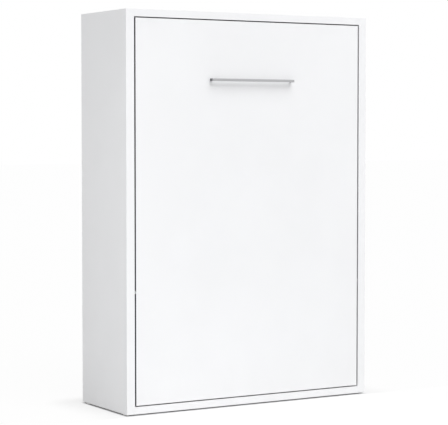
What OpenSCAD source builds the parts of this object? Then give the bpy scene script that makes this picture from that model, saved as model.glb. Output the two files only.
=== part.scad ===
// Vertical wall bed: a cabinet of thick boards whose front panel is the underside of a folding bed.
// +Z is up, the front faces -Y, and the origin is at the middle of the floor under the whole object.

/* [Cabinet] */
// Outer width of the cabinet
cabinet_w = 1560; // [1460:10:1660]
// Outer height, with the floor glides
cabinet_h = 2180; // [2130:10:2260]
// Depth from the front edges to the back edges
cabinet_d = 540; // [500:10:600]
// Thickness of the side boards
side_t = 49; // [38:1:56]
// Thickness of the top board
top_t = 40; // [32:1:46]
// Thickness of the bottom board
bottom_t = 40; // [32:1:46]
// Height of the floor glides
glide_h = 7; // [5:1:12]
// Diameter of the floor glides
glide_d = 40; // [30:1:44]
// Thickness of the back sheets
sheet_t = 5; // [3:1:8]
// Depth of the rebate that the back sheets lie in
rebate = 8; // [6:1:12]
// Thickness of the back rails
back_rail_t = 18; // [16:1:25]
// Height of each back rail
back_rail_h = 150; // [120:10:200]
// Height of the middle back rail's centre
middle_rail_z = 1150; // [900:10:1400]

/* [Front panel] */
// Thickness of the front panel
door_t = 18; // [16:1:22]
// Gap between the front panel and each side board
side_gap = 8; // [6:0.5:10]
// Gap above and below the front panel
end_gap = 6; // [5:0.5:9]
// Diameter of the guide buttons in the panel's edges
button_d = 16; // [12:1:17]
// How far the guide buttons stand out of the panel's edges
button_out = 3.5; // [2:0.5:3.5]
// Height of the guide buttons above the floor
button_z = 665; // [620:5:720]

/* [Handle] */
// Length of the handle
handle_l = 528; // [300:4:800]
// Distance of the handle's middle below the cabinet's top
handle_drop = 370; // [320:2:480]
// How far the handle stands out
handle_out = 36; // [28:1:50]
// Height of the handle's bar
handle_bar_h = 14; // [10:1:20]
// Depth of the handle's bar
handle_bar_d = 12; // [8:1:16]
// Diameter of the handle's screws
handle_screw_d = 4; // [3:0.5:6]

/* [Bed frame] */
// Height of the bed's pivot above the floor
pivot_z = 330; // [320:2:340]
// Distance of the pivot behind the front face
pivot_in = 45; // [43:1:48]
// Clear space between each side board and the bed frame
lane_w = 37; // [36:0.5:42]
// Depth of the bed frame's outer rails
rail_d = 50; // [46:1:54]
// Width of the bed frame's outer rails
rail_w = 30; // [25:1:40]
// Wall of all frame tubes
tube_wall = 2; // [1.5:0.5:3]
// Width of the centre beam
beam_w = 30; // [25:1:40]
// Depth of the centre beam
beam_d = 40; // [30:1:44]
// Height and depth of the cross rails
cross_rail_w = 30; // [20:1:36]
// Clear space between the handle's middle and the cross rails below it
cross_rail_clear = 50; // [30:1:90]
// How far the frame starts above the panel's lower edge
frame_head_inset = 12; // [8:1:20]
// How far the frame ends below the panel's upper edge
frame_foot_inset = 24; // [20:1:30]

/* [Slats] */
// Number of slats on each half of the bed
slat_count = 14; // [10:1:15]
// Width of a slat
slat_w = 60; // [45:1:70]
// Thickness of a slat
slat_t = 8; // [6:0.5:10]
// Thickness of a slat holder's floor
holder_floor = 3.7; // [3:0.1:5]
// Wall of a slat holder round the slat
holder_wall = 5; // [3:0.5:7]
// Length of slat that a holder carries
holder_reach = 46; // [36:1:60]

/* [Mattress] */
// Thickness of the mattress
mattress_t = 200; // [160:5:220]
// How far the mattress reaches past the frame's rails at each side
mattress_over = 6; // [2:0.5:6]
// Distance from the frame's head end to the mattress
mattress_head_inset = 10; // [5:1:20]
// Distance from the frame's foot end to the mattress
mattress_foot_inset = 35; // [32:1:45]
// Radius of the mattress's long edges
mattress_edge_r = 28; // [15:1:40]
// Radius of the mattress's corners in plan
mattress_corner_r = 70; // [40:1:110]
// Thickness of the mattress's cover and padding round its light core
mattress_wall = 12; // [8:1:20]
// Width of the straps' webbing
strap_w = 40; // [30:1:50]
// Thickness of the straps' webbing
strap_t = 2; // [1.5:0.5:2]

/* [Mechanism] */
// Thickness of the steel plates
plate_t = 4; // [3:0.5:5]
// Diameter of the bed's pivot axles
axle_d = 16; // [12:1:18]
// Wall of the pivot bushes
bush_wall = 4; // [3:0.5:5]
// Width of the pivot bushes' flanges
bush_flange_w = 4; // [3:0.5:5]
// Thickness of the pivot bushes' flanges
bush_flange_t = 2; // [1.5:0.5:2.5]
// Diameter of the gas springs' cylinders
spring_d = 22; // [18:1:23]
// Diameter of the gas springs' rods
spring_rod_d = 10; // [8:1:12]
// Height of the springs' upper pins above the bed's pivot
spring_top_up = 320; // [300:5:340]
// Distance of the springs' upper pins behind the bed's pivot
spring_top_back = 60; // [54:1:66]
// Distance of the springs' lower pins below the bed's pivot
spring_tail_down = 215; // [205:1:220]
// Diameter of the springs' upper pins
stud_d = 10; // [8:0.5:11]
// Diameter of the springs' lower pins
tail_bolt_d = 8; // [6:0.5:9]
// Wall of the eyes at both ends of a spring
eye_wall = 6; // [5:0.5:7]

/* [Folding leg] */
// Width of the leg's arms
leg_arm_w = 22; // [18:1:24]
// Thickness of the leg's arms
leg_arm_t = 18; // [14:1:18]
// Thickness of the leg's crank plates
crank_t = 4; // [3:0.5:5]
// Diameter of the leg's crossbar
crossbar_d = 22; // [18:1:24]
// Thickness of the rubber on the leg's feet
foot_rubber = 2; // [1.5:0.5:3]
// Length of each rubber foot
foot_l = 80; // [50:5:120]
// Diameter of the leg's pivot studs
leg_stud_d = 12; // [10:0.5:14]
// Angle of the leg's arms when folded, below square to the bed
leg_fold_angle = 36; // [32:1:38]

/* [Fixings] */
// Diameter of the holes for the wall screws
wall_hole_d = 9; // [7:0.5:12]
// Distance between the wall screws, side to side
wall_hole_w = 1000; // [800:10:1200]
// Diameter of the wood screws
wood_screw_d = 5; // [4:0.5:6]
// Diameter of the cam locks
cam_d = 15; // [12:1:18]
// Diameter of the dowels
dowel_d = 8; // [6:1:10]

/* [Hidden] */
$fn = 48;

// Clearances
soft_gap = 0.3;
running_gap = 0.05;
fixed_gap = 0.1;
cut = 1;

// Cabinet planes
front_y = -(cabinet_d - handle_out) / 2;
back_y = front_y + cabinet_d;
out_x = cabinet_w / 2;
in_x = out_x - side_t;
top_in_z = cabinet_h - top_t;
bottom_in_z = glide_h + bottom_t;
sheet_y = back_y - sheet_t;
back_rail_y = sheet_y - back_rail_t;
upper_rail_z = top_in_z - back_rail_h / 2;
lower_rail_z = bottom_in_z + back_rail_h / 2;
back_rail_zs = [upper_rail_z, middle_rail_z, lower_rail_z];
joiner_lip = 12;
joiner_t = 1.5;

// Floor glides
glide_pin_d = glide_d / 5;
glide_pin_l = glide_d / 2;
glide_inset = 50;
glide_ys = [front_y + glide_inset, back_y - glide_inset];
glide_xs = [-out_x + side_t / 2, 0, out_x - side_t / 2];

// Wall fixings
wall_fixing_zs = [upper_rail_z, middle_rail_z];
fixing_plate_w = 60;
fixing_plate_t = 3;

// Cam locks and their bolts
cam_depth = 13;
cam_set = 34;
cam_bolt_d = 7;
cam_bolt_in = 14;
cam_axis = 9;
cam_y_inset = 100;
cam_ys = [front_y + cam_y_inset, (front_y + back_y) / 2, back_y - cam_y_inset];

// Dowels in the back rails
dowel_l = 40;
dowel_up = back_rail_h / 4;

// Front panel
door_x = in_x - side_gap;
door_z0 = bottom_in_z + end_gap;
door_z1 = top_in_z - end_gap;
door_back_y = front_y + door_t;

// Handle
handle_z = cabinet_h - handle_drop;
handle_post_w = handle_bar_d;
handle_post_x = handle_l / 2 - handle_post_w / 2;
handle_bar_back_y = front_y - handle_out + handle_bar_d;
handle_screw_share = 0.6;
handle_screw_in = handle_screw_share * (front_y - handle_bar_back_y);
handle_head_shares = [2.2, 0.7];
handle_head_d = handle_head_shares[0] * handle_screw_d;
handle_head_t = handle_head_shares[1] * handle_screw_d;

// Bed frame
pivot_y = front_y + pivot_in;
rail_x = in_x - lane_w;
rail_in_x = rail_x - rail_w;
rail_back_y = door_back_y + rail_d;
frame_z0 = door_z0 + frame_head_inset;
frame_z1 = door_z1 - frame_foot_inset;
cross_rail_shares = [0.18, 0.5];
upper_cross_rail_z = handle_z - cross_rail_clear - cross_rail_w / 2;
cross_rail_zs = [
    for (s = cross_rail_shares) frame_z0 + s * (frame_z1 - frame_z0),
    upper_cross_rail_z
];

// Angle brackets between the rails and the front panel
bracket_w = 36;
bracket_leg = 28;
bracket_t = 2.5;
bracket_hole_share = 0.6;
bracket_hole_in = bracket_hole_share * bracket_leg;
bracket_shares = [0.08, 0.3, 0.4, 0.62, 0.92];
bracket_zs = [for (s = bracket_shares) frame_z0 + s * (frame_z1 - frame_z0)];
bracket_screw_d = 4;
bracket_screw_l = 14;

// Slats
slat_y0 = rail_back_y + holder_floor;
slat_y1 = slat_y0 + slat_t;
holder_w = slat_w + 2 * holder_wall;
slat_first_z = frame_z0 + rail_w + holder_w / 2;
slat_last_z = frame_z1 - rail_w - holder_w / 2;
slat_zs = [for (i = [0:slat_count - 1]) slat_first_z + i * (slat_last_z - slat_first_z) / (slat_count - 1)];
slat_x0 = holder_wall / 2;
slat_x1 = rail_x - 2 * holder_wall;

// Mattress and straps
mattress_x = rail_x + mattress_over;
mattress_y0 = slat_y1 + soft_gap;
mattress_y1 = mattress_y0 + mattress_t;
mattress_z0 = frame_z0 + mattress_head_inset;
mattress_z1 = frame_z1 - mattress_foot_inset;
strap_shares = [0.36, 0.74];
strap_zs = [for (s = strap_shares) mattress_z0 + s * (mattress_z1 - mattress_z0)];
anchor_h = 30;
anchor_margin = 4;
anchor_y0 = rail_back_y - anchor_h - anchor_margin;
strap_x = mattress_x + soft_gap;

// Plates that carry the pivots
mech_plate_r = 12;
mech_plate_front = 24;
mech_plate_margin = 34;
mech_plate_back = spring_top_back + mech_plate_margin;
mech_plate_down = 60;
mech_plate_up = spring_top_up + mech_plate_margin;
plate_x = in_x - plate_t;
plate_screw_l = 30;
plate_screw_head_d = 2 * wood_screw_d;
plate_edge = 16;
plate_screw_ys = [pivot_y - mech_plate_front + plate_edge, pivot_y + mech_plate_back - plate_edge];
plate_screw_shares = [0, 0.34, 0.67, 1];
plate_screw_zs = [for (s = plate_screw_shares)
    pivot_z - mech_plate_down + plate_edge + s * (mech_plate_up + mech_plate_down - 2 * plate_edge)];

// Plates on the bed's rails
bed_plate_x = rail_x + plate_t;
bed_plate_up = 140;
bed_screw_d = 6;
bed_screw_tip = 8;
bed_screw_l = plate_t + tube_wall + bed_screw_tip;
bed_screw_edge = 14;
bed_screw_up_shares = [-0.55, 0.5, 0.88];
bed_screw_zs = [for (s = bed_screw_up_shares) pivot_z + s * bed_plate_up];
bush_r = axle_d / 2 + bush_wall;
axle_end_x = rail_x - tube_wall - bush_wall;

// Gas springs
spring_side_gap = 2;
spring_x = plate_x - spring_side_gap - spring_d / 2;
spring_top = [pivot_y + spring_top_back, pivot_z + spring_top_up];
spring_tail = [pivot_y, pivot_z - spring_tail_down];
spring_tail_open = [pivot_y + spring_tail_down, pivot_z];
spring_l = norm(spring_tail - spring_top);
spring_l_open = norm(spring_tail_open - spring_top);
spring_angle = atan2(spring_tail[1] - spring_top[1], spring_tail[0] - spring_top[0]);
eye_t = 14;
cylinder_neck = 10;
cylinder_wall = 2;
cylinder_cap = 6;
rod_neck_l = 12;
piston_l = 14;
stroke_reserve = 4;
cylinder_start = stud_d / 2 + eye_wall + cylinder_neck;
rod_fit_r = tail_bolt_d / 2 + eye_wall;
rod_neck_start = spring_l - rod_fit_r - rod_neck_l;
cylinder_end = spring_l_open - rod_fit_r - rod_neck_l - stroke_reserve;
piston_end = cylinder_end - cylinder_cap - stroke_reserve;
stud_head_t = 2.2;
pin_shoulder = 3;
stud_shoulder_r = stud_d / 2 + pin_shoulder;
neck_step = 1;
neck_r = eye_t / 2 - neck_step;
eye_x0 = spring_x - eye_t / 2;
eye_x1 = spring_x + eye_t / 2;

// Folding leg: its pivot, its crank and its straight arms
leg_pivot_rise = 7;
leg_pivot_drop = 27;
leg_door_clear = 7;
leg_y = rail_back_y + leg_pivot_rise;
leg_z = door_z1 - leg_pivot_drop;
crank_l = leg_pivot_drop + leg_arm_w / 2 + leg_door_clear;
foot_r = crossbar_d / 2 + foot_rubber;
arm_l = pivot_z + leg_y - pivot_y - foot_r;
leg_bracket_margin = 16;
leg_washer_t = 2.6;
crank_x = rail_x + plate_t + leg_washer_t;
arm_x = crank_x + crank_t;
crank_grip = 60;
leg_stud_head_t = 3;
leg_stud_flange_w = 4;
leg_bracket_down = 62;
leg_screw_d = 6;
leg_screw_shares = [[0.66, 0.28], [0.66, 0.76], [0.3, 0.76]];
leg_screw_spots = [for (s = leg_screw_shares) [rail_back_y - s[0] * rail_d, leg_z - s[1] * leg_bracket_down]];
foot_share = 0.68;
foot_x = foot_share * rail_x;

// Rubber stops behind the front panel
stop_share = 0.87;
stop_z = stop_share * door_z1;
stop_h = 40;
stop_d = 20;
stop_clear = 15;
stop_w = lane_w - stop_clear;

// Colours
board_white = [0.93, 0.94, 0.95];
sheet_white = [0.88, 0.88, 0.87];
frame_grey = [0.62, 0.64, 0.66];
steel = [0.72, 0.73, 0.75];
zinc = [0.66, 0.67, 0.68];
nylon_white = [0.9, 0.9, 0.88];
black_rubber = [0.08, 0.08, 0.08];
birch = [0.83, 0.7, 0.5];
cloth_white = [0.92, 0.91, 0.88];
webbing = [0.2, 0.21, 0.23];

// A box between two limits on each axis
module block(x, y, z) {
    translate([x[0], y[0], z[0]])
        cube([x[1] - x[0], y[1] - y[0], z[1] - z[0]]);
}

// Round bars along each axis, each between two limits
module bar_x(r, x, y, z) {
    translate([x[0], y, z])
        rotate([0, 90, 0])
            cylinder(r = r, h = x[1] - x[0]);
}

module bar_y(r, x, y, z) {
    translate([x, y[0], z])
        rotate([-90, 0, 0])
            cylinder(r = r, h = y[1] - y[0]);
}

module bar_z(r, x, y, z) {
    translate([x, y, z[0]])
        cylinder(r = r, h = z[1] - z[0]);
}

// Draws an outline given in Y and Z, thick along X from x0
module upright_plate(x0, t) {
    translate([x0, 0, 0])
        rotate([90, 0, 90])
            linear_extrude(height = t)
                children();
}

// What is drawn for the right-hand side, put on side s: 1 is right and -1 is left
module on_side(s) {
    mirror([s < 0 ? 1 : 0, 0, 0])
        children();
}

// A rectangle with true round corners
module round_rect(x, y, r) {
    translate([x[0] + r, y[0]])
        square([x[1] - x[0] - 2 * r, y[1] - y[0]]);
    translate([x[0], y[0] + r])
        square([x[1] - x[0], y[1] - y[0] - 2 * r]);
    for (px = [x[0] + r, x[1] - r])
        for (py = [y[0] + r, y[1] - r])
            translate([px, py])
                circle(r = r);
}

// A strip with round ends, from a to b
module strip(a, b, r) {
    d = b - a;
    translate(a)
        rotate(atan2(d[1], d[0]))
            translate([0, -r])
                square([norm(d), 2 * r]);
    translate(a)
        circle(r = r);
    translate(b)
        circle(r = r);
}

// A countersunk screw with its head's face at the origin and its shank along +Z
module screw(d, head_d, l, gap) {
    cone = (head_d - d) / 2;
    cylinder(r1 = head_d / 2 + gap, r2 = d / 2 + gap, h = cone);
    cylinder(r = d / 2 + gap, h = l + gap);
}

// The same screw turned to point outwards along X, or to the front along -Y
module screw_x(d, head_d, l, x, y, z, gap) {
    translate([x, y, z])
        rotate([0, 90, 0])
            screw(d, head_d, l, gap);
}

module screw_inward(d, head_d, l, x, y, z, gap) {
    translate([x, y, z])
        rotate([0, -90, 0])
            screw(d, head_d, l, gap);
}

module screw_front(d, head_d, l, x, y, z, gap) {
    translate([x, y, z])
        rotate([90, 0, 0])
            screw(d, head_d, l, gap);
}

// Positions of the cam bolts: height of the axis and side of the cam's mouth
cam_rows = [[top_in_z + cam_axis, top_in_z], [bottom_in_z - cam_axis, bottom_in_z]];

module cam_bolt_shapes(gap) {
    xs = [in_x - cam_set + cam_d / 2 - gap, in_x + cam_bolt_in + gap];
    for (row = cam_rows)
        for (y = cam_ys)
            bar_x(cam_bolt_d / 2 + gap, xs, y, row[0]);
}

module cam_lock_shapes(gap) {
    for (y = cam_ys) {
        bar_z(cam_d / 2 + gap, in_x - cam_set, y, [top_in_z - gap, top_in_z + cam_depth + gap]);
        bar_z(cam_d / 2 + gap, in_x - cam_set, y, [bottom_in_z - cam_depth - gap, bottom_in_z + gap]);
    }
}

module dowel_shapes(gap) {
    for (z = back_rail_zs)
        for (up = [-dowel_up, dowel_up])
            bar_x(
                dowel_d / 2 + gap,
                [in_x - dowel_l / 2 - gap, in_x + dowel_l / 2 + gap],
                back_rail_y + back_rail_t / 2,
                z + up
            );
}

module glide_pin_shapes(gap) {
    for (x = glide_xs)
        for (y = glide_ys)
            bar_z(glide_pin_d / 2 + gap, x, y, [glide_h, glide_h + glide_pin_l + gap]);
}

module mechanism_screw_shapes(gap) {
    for (y = plate_screw_ys)
        for (z = plate_screw_zs)
            screw_x(wood_screw_d, plate_screw_head_d, plate_screw_l, plate_x, y, z, gap);
}

module wall_holes(y) {
    for (s = [-1, 1])
        for (z = wall_fixing_zs)
            bar_y(wall_hole_d / 2, s * wall_hole_w / 2, y, z);
}

// Cabinet
module side_panel(s) {
    color(board_white)
        difference() {
            on_side(s)
                block([in_x, out_x], [front_y, back_y], [glide_h, cabinet_h]);
            on_side(s) {
                block(
                    [in_x - cut, in_x + rebate],
                    [sheet_y, back_y + cut],
                    [bottom_in_z - rebate, top_in_z + rebate]
                );
                cam_bolt_shapes(fixed_gap);
                dowel_shapes(fixed_gap);
                mechanism_screw_shapes(fixed_gap);
            }
            glide_pin_shapes(fixed_gap);
        }
}

module left_side_panel() {
    side_panel(-1);
}

module right_side_panel() {
    side_panel(1);
}

module top_panel() {
    color(board_white)
        difference() {
            block([-in_x, in_x], [front_y, back_y], [top_in_z, cabinet_h]);
            block([-in_x - cut, in_x + cut], [sheet_y, back_y + cut], [top_in_z - cut, top_in_z + rebate]);
            for (s = [-1, 1])
                on_side(s) {
                    cam_bolt_shapes(fixed_gap);
                    cam_lock_shapes(fixed_gap);
                }
        }
}

module bottom_panel() {
    color(board_white)
        difference() {
            block([-in_x, in_x], [front_y, back_y], [glide_h, bottom_in_z]);
            block(
                [-in_x - cut, in_x + cut],
                [sheet_y, back_y + cut],
                [bottom_in_z - rebate, bottom_in_z + cut]
            );
            for (s = [-1, 1])
                on_side(s) {
                    cam_bolt_shapes(fixed_gap);
                    cam_lock_shapes(fixed_gap);
                }
            glide_pin_shapes(fixed_gap);
        }
}

module back_rail(z) {
    color(board_white)
        difference() {
            block([-in_x, in_x], [back_rail_y, sheet_y], [z - back_rail_h / 2, z + back_rail_h / 2]);
            for (s = [-1, 1])
                on_side(s)
                    dowel_shapes(fixed_gap);
            wall_holes([back_rail_y - cut, sheet_y + cut]);
        }
}

module upper_back_rail() {
    back_rail(upper_rail_z);
}

module middle_back_rail() {
    back_rail(middle_rail_z);
}

module lower_back_rail() {
    back_rail(lower_rail_z);
}

// The back is two sheets that meet in a joiner on the middle rail
sheet_x = in_x + rebate - soft_gap;
sheet_top_z = top_in_z + rebate - soft_gap;
sheet_bottom_z = bottom_in_z - rebate + soft_gap;
joiner_z = middle_rail_z + back_rail_h / 2 + 2 * joiner_lip;

module back_sheet(z0, z1) {
    color(sheet_white)
        difference() {
            block([-sheet_x, sheet_x], [sheet_y, back_y], [z0, z1]);
            wall_holes([sheet_y - cut, back_y + cut]);
        }
}

module back_panel_upper() {
    back_sheet(joiner_z + joiner_t / 2, sheet_top_z);
}

module back_panel_lower() {
    back_sheet(sheet_bottom_z, joiner_z - joiner_t / 2);
}

module back_panel_joiner() {
    color(sheet_white) {
        block([-in_x, in_x], [sheet_y - joiner_t, sheet_y], [joiner_z - joiner_lip, joiner_z + joiner_lip]);
        block(
            [-in_x, in_x],
            [sheet_y - joiner_t, back_y],
            [joiner_z - joiner_t / 2, joiner_z + joiner_t / 2]
        );
    }
}

module floor_glides() {
    color(nylon_white)
        for (x = glide_xs)
            for (y = glide_ys) {
                bar_z(glide_d / 2, x, y, [0, glide_h]);
                bar_z(glide_pin_d / 2, x, y, [0, glide_h + glide_pin_l]);
            }
}

module wall_fixing_plates() {
    color(zinc)
        difference() {
            for (s = [-1, 1])
                for (z = wall_fixing_zs)
                    translate([s * wall_hole_w / 2, back_rail_y, z])
                        rotate([90, 0, 0])
                            linear_extrude(height = fixing_plate_t)
                                round_rect(
                                    [-fixing_plate_w / 2, fixing_plate_w / 2],
                                    [-fixing_plate_w / 2, fixing_plate_w / 2],
                                    fixing_plate_w / 10
                                );
            wall_holes([back_rail_y - fixing_plate_t - cut, back_rail_y + cut]);
        }
}

module cam_locks() {
    color(zinc)
        for (s = [-1, 1])
            on_side(s)
                cam_lock_shapes(0);
}

module cam_bolts() {
    color(steel)
        difference() {
            for (s = [-1, 1])
                on_side(s)
                    cam_bolt_shapes(0);
            for (s = [-1, 1])
                on_side(s)
                    cam_lock_shapes(fixed_gap);
        }
}

module back_rail_dowels() {
    color(birch)
        for (s = [-1, 1])
            on_side(s)
                dowel_shapes(0);
}

// Pivot plates on the side boards
module mechanism_plate(s) {
    color(steel)
        on_side(s)
            difference() {
                upright_plate(plate_x, plate_t)
                    round_rect(
                        [pivot_y - mech_plate_front, pivot_y + mech_plate_back],
                        [pivot_z - mech_plate_down, pivot_z + mech_plate_up],
                        mech_plate_r
                    );
                bar_x(axle_d / 2 + running_gap, [plate_x - cut, in_x + cut], pivot_y, pivot_z);
                bar_x(stud_d / 2 + running_gap, [plate_x - cut, in_x + cut], spring_top[0], spring_top[1]);
                mechanism_screw_shapes(fixed_gap);
            }
}

module left_mechanism_plate() {
    mechanism_plate(-1);
}

module right_mechanism_plate() {
    mechanism_plate(1);
}

module mechanism_plate_screws() {
    color(zinc)
        for (s = [-1, 1])
            on_side(s)
                mechanism_screw_shapes(0);
}

module pivot_axle(s) {
    color(steel)
        on_side(s)
            bar_x(axle_d / 2, [axle_end_x, in_x], pivot_y, pivot_z);
}

module left_pivot_axle() {
    pivot_axle(-1);
}

module right_pivot_axle() {
    pivot_axle(1);
}

// Upper pins of the gas springs, each with a head and a shoulder on both sides of the spring's eye
module spring_studs() {
    color(zinc)
        for (s = [-1, 1])
            on_side(s) {
                bar_x(stud_d / 2, [eye_x0 - soft_gap - stud_head_t, in_x], spring_top[0], spring_top[1]);
                bar_x(
                    stud_shoulder_r,
                    [eye_x0 - soft_gap - stud_head_t, eye_x0 - soft_gap],
                    spring_top[0],
                    spring_top[1]
                );
                bar_x(stud_shoulder_r, [eye_x1 + soft_gap, plate_x], spring_top[0], spring_top[1]);
            }
}

module door_stops() {
    color(black_rubber)
        for (s = [-1, 1])
            on_side(s)
                block(
                    [in_x - stop_w, in_x],
                    [door_back_y + soft_gap, door_back_y + soft_gap + stop_d],
                    [stop_z - stop_h / 2, stop_z + stop_h / 2]
                );
}

// Front panel and what it carries
module handle_screw_shapes(gap) {
    ys = [front_y - handle_screw_in - gap, door_back_y];
    for (s = [-1, 1])
        bar_y(handle_screw_d / 2 + gap, s * handle_post_x, ys, handle_z);
}

module bracket_panel_screw_shapes(gap) {
    for (z = bracket_zs)
        screw_front(
            bracket_screw_d,
            2 * bracket_screw_d,
            bracket_screw_l,
            rail_in_x - bracket_hole_in,
            door_back_y + bracket_t,
            z,
            gap
        );
}

module bracket_rail_screw_shapes(gap) {
    for (z = bracket_zs)
        screw_x(
            bracket_screw_d,
            2 * bracket_screw_d,
            bracket_t + tube_wall + bracket_screw_d,
            rail_in_x - bracket_t,
            door_back_y + bracket_hole_in,
            z,
            gap
        );
}

module front_panel() {
    color(board_white)
        difference() {
            block([-door_x, door_x], [front_y, door_back_y], [door_z0, door_z1]);
            handle_screw_shapes(fixed_gap);
            for (s = [-1, 1])
                on_side(s)
                    bracket_panel_screw_shapes(fixed_gap);
        }
}

module edge_guide_buttons() {
    color(nylon_white)
        for (s = [-1, 1])
            on_side(s)
                bar_x(button_d / 2, [door_x, door_x + button_out], front_y + door_t / 2, button_z);
}

module handle_bar() {
    color(steel)
        block(
            [-handle_l / 2, handle_l / 2],
            [front_y - handle_out, handle_bar_back_y],
            [handle_z - handle_bar_h / 2, handle_z + handle_bar_h / 2]
        );
}

module handle_posts() {
    color(steel)
        difference() {
            for (s = [-1, 1])
                on_side(s)
                    block(
                        [handle_l / 2 - handle_post_w, handle_l / 2],
                        [handle_bar_back_y, front_y],
                        [handle_z - handle_bar_h / 2, handle_z + handle_bar_h / 2]
                    );
            handle_screw_shapes(fixed_gap);
        }
}

module handle_screws() {
    color(zinc)
        for (s = [-1, 1])
            on_side(s) {
                bar_y(
                    handle_screw_d / 2,
                    handle_post_x,
                    [front_y - handle_screw_in, door_back_y + handle_head_t],
                    handle_z
                );
                bar_y(handle_head_d / 2, handle_post_x, [door_back_y, door_back_y + handle_head_t], handle_z);
            }
}

// A square tube between limits, hollow along the named axis
module tube(x, y, z, axis) {
    gap = [for (i = [0:2]) i == axis ? -cut : tube_wall];
    difference() {
        block(x, y, z);
        block([x[0] + gap[0], x[1] - gap[0]], [y[0] + gap[1], y[1] - gap[1]], [z[0] + gap[2], z[1] - gap[2]]);
    }
}

module bed_screw_shapes(gap) {
    for (z = bed_screw_zs)
        for (y = [door_back_y + bed_screw_edge, rail_back_y - bed_screw_edge])
            screw_inward(bed_screw_d, 2 * bed_screw_d, bed_screw_l, bed_plate_x, y, z, gap);
}

module leg_bracket_screw_shapes(gap) {
    for (p = leg_screw_spots)
        screw_inward(leg_screw_d, 2 * leg_screw_d, bed_screw_l, bed_plate_x, p[0], p[1], gap);
}

module side_rail(s) {
    color(frame_grey)
        on_side(s)
            difference() {
                tube([rail_in_x, rail_x], [door_back_y, rail_back_y], [frame_z0, frame_z1], 2);
                bar_x(bush_r + running_gap, [rail_x - tube_wall - cut, rail_x + cut], pivot_y, pivot_z);
                bed_screw_shapes(fixed_gap);
                leg_bracket_screw_shapes(fixed_gap);
                bracket_rail_screw_shapes(fixed_gap);
            }
}

module left_side_rail() {
    side_rail(-1);
}

module right_side_rail() {
    side_rail(1);
}

module head_rail() {
    color(frame_grey)
        tube([-rail_in_x, rail_in_x], [door_back_y, rail_back_y], [frame_z0, frame_z0 + rail_w], 0);
}

module foot_rail() {
    color(frame_grey)
        tube([-rail_in_x, rail_in_x], [door_back_y, rail_back_y], [frame_z1 - rail_w, frame_z1], 0);
}

module centre_beam() {
    color(frame_grey)
        tube(
            [-beam_w / 2, beam_w / 2],
            [rail_back_y - beam_d, rail_back_y],
            [frame_z0 + rail_w, frame_z1 - rail_w],
            2
        );
}

module cross_rails() {
    color(frame_grey)
        for (s = [-1, 1])
            on_side(s)
                for (z = cross_rail_zs)
                    tube(
                        [beam_w / 2, rail_in_x],
                        [door_back_y, door_back_y + cross_rail_w],
                        [z - cross_rail_w / 2, z + cross_rail_w / 2],
                        0
                    );
}

module panel_brackets() {
    color(zinc)
        for (s = [-1, 1])
            on_side(s)
                difference() {
                    for (z = bracket_zs)
                        translate([rail_in_x, door_back_y, z - bracket_w / 2])
                            linear_extrude(height = bracket_w) {
                                translate([-bracket_leg, 0])
                                    square([bracket_leg, bracket_t]);
                                translate([-bracket_t, 0])
                                    square([bracket_t, bracket_leg]);
                            }
                    bracket_panel_screw_shapes(fixed_gap);
                    bracket_rail_screw_shapes(fixed_gap);
                }
}

module panel_bracket_screws() {
    color(zinc)
        for (s = [-1, 1])
            on_side(s) {
                bracket_panel_screw_shapes(0);
                bracket_rail_screw_shapes(0);
            }
}

// Plates on the bed's side rails, with the bushes that turn on the axles
module bed_plate(s) {
    color(steel)
        on_side(s)
            difference() {
                block([rail_x, bed_plate_x], [door_back_y, rail_back_y], [frame_z0, pivot_z + bed_plate_up]);
                bar_x(bush_r + running_gap, [rail_x - cut, bed_plate_x + cut], pivot_y, pivot_z);
                bar_x(
                    tail_bolt_d / 2 + fixed_gap,
                    [rail_x - cut, bed_plate_x + cut],
                    spring_tail[0],
                    spring_tail[1]
                );
                bed_screw_shapes(fixed_gap);
            }
}

module left_bed_plate() {
    bed_plate(-1);
}

module right_bed_plate() {
    bed_plate(1);
}

module bed_plate_screws() {
    color(zinc)
        for (s = [-1, 1])
            on_side(s)
                bed_screw_shapes(0);
}

module pivot_bushes() {
    color(nylon_white)
        for (s = [-1, 1])
            on_side(s)
                difference() {
                    union() {
                        bar_x(bush_r, [rail_x - tube_wall, bed_plate_x + bush_flange_t], pivot_y, pivot_z);
                        bar_x(
                            bush_r + bush_flange_w,
                            [bed_plate_x, bed_plate_x + bush_flange_t],
                            pivot_y,
                            pivot_z
                        );
                    }
                    bar_x(
                        axle_d / 2 + running_gap,
                        [rail_x - tube_wall - cut, bed_plate_x + bush_flange_t + cut],
                        pivot_y,
                        pivot_z
                    );
                }
}

// Slats in two halves, each slat in a holder on the side rail and one on the centre beam
module slats() {
    color(birch)
        for (s = [-1, 1])
            on_side(s)
                for (z = slat_zs)
                    block([slat_x0, slat_x1], [slat_y0, slat_y1], [z - slat_w / 2, z + slat_w / 2]);
}

module side_slat_holders() {
    color(black_rubber)
        for (s = [-1, 1])
            on_side(s)
                for (z = slat_zs)
                    difference() {
                        block(
                            [slat_x1 - holder_reach, slat_x1 + holder_wall],
                            [rail_back_y, slat_y1],
                            [z - holder_w / 2, z + holder_w / 2]
                        );
                        block(
                            [slat_x1 - holder_reach - cut, slat_x1 + fixed_gap],
                            [slat_y0, slat_y1 + cut],
                            [z - slat_w / 2 - fixed_gap, z + slat_w / 2 + fixed_gap]
                        );
                    }
}

module centre_slat_holders() {
    color(black_rubber)
        for (z = slat_zs)
            difference() {
                block(
                    [-holder_reach, holder_reach],
                    [rail_back_y, slat_y1],
                    [z - holder_w / 2, z + holder_w / 2]
                );
                for (s = [-1, 1])
                    on_side(s)
                        block(
                            [slat_x0 - fixed_gap, holder_reach + cut],
                            [slat_y0, slat_y1 + cut],
                            [z - slat_w / 2 - fixed_gap, z + slat_w / 2 + fixed_gap]
                        );
            }
}

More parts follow.
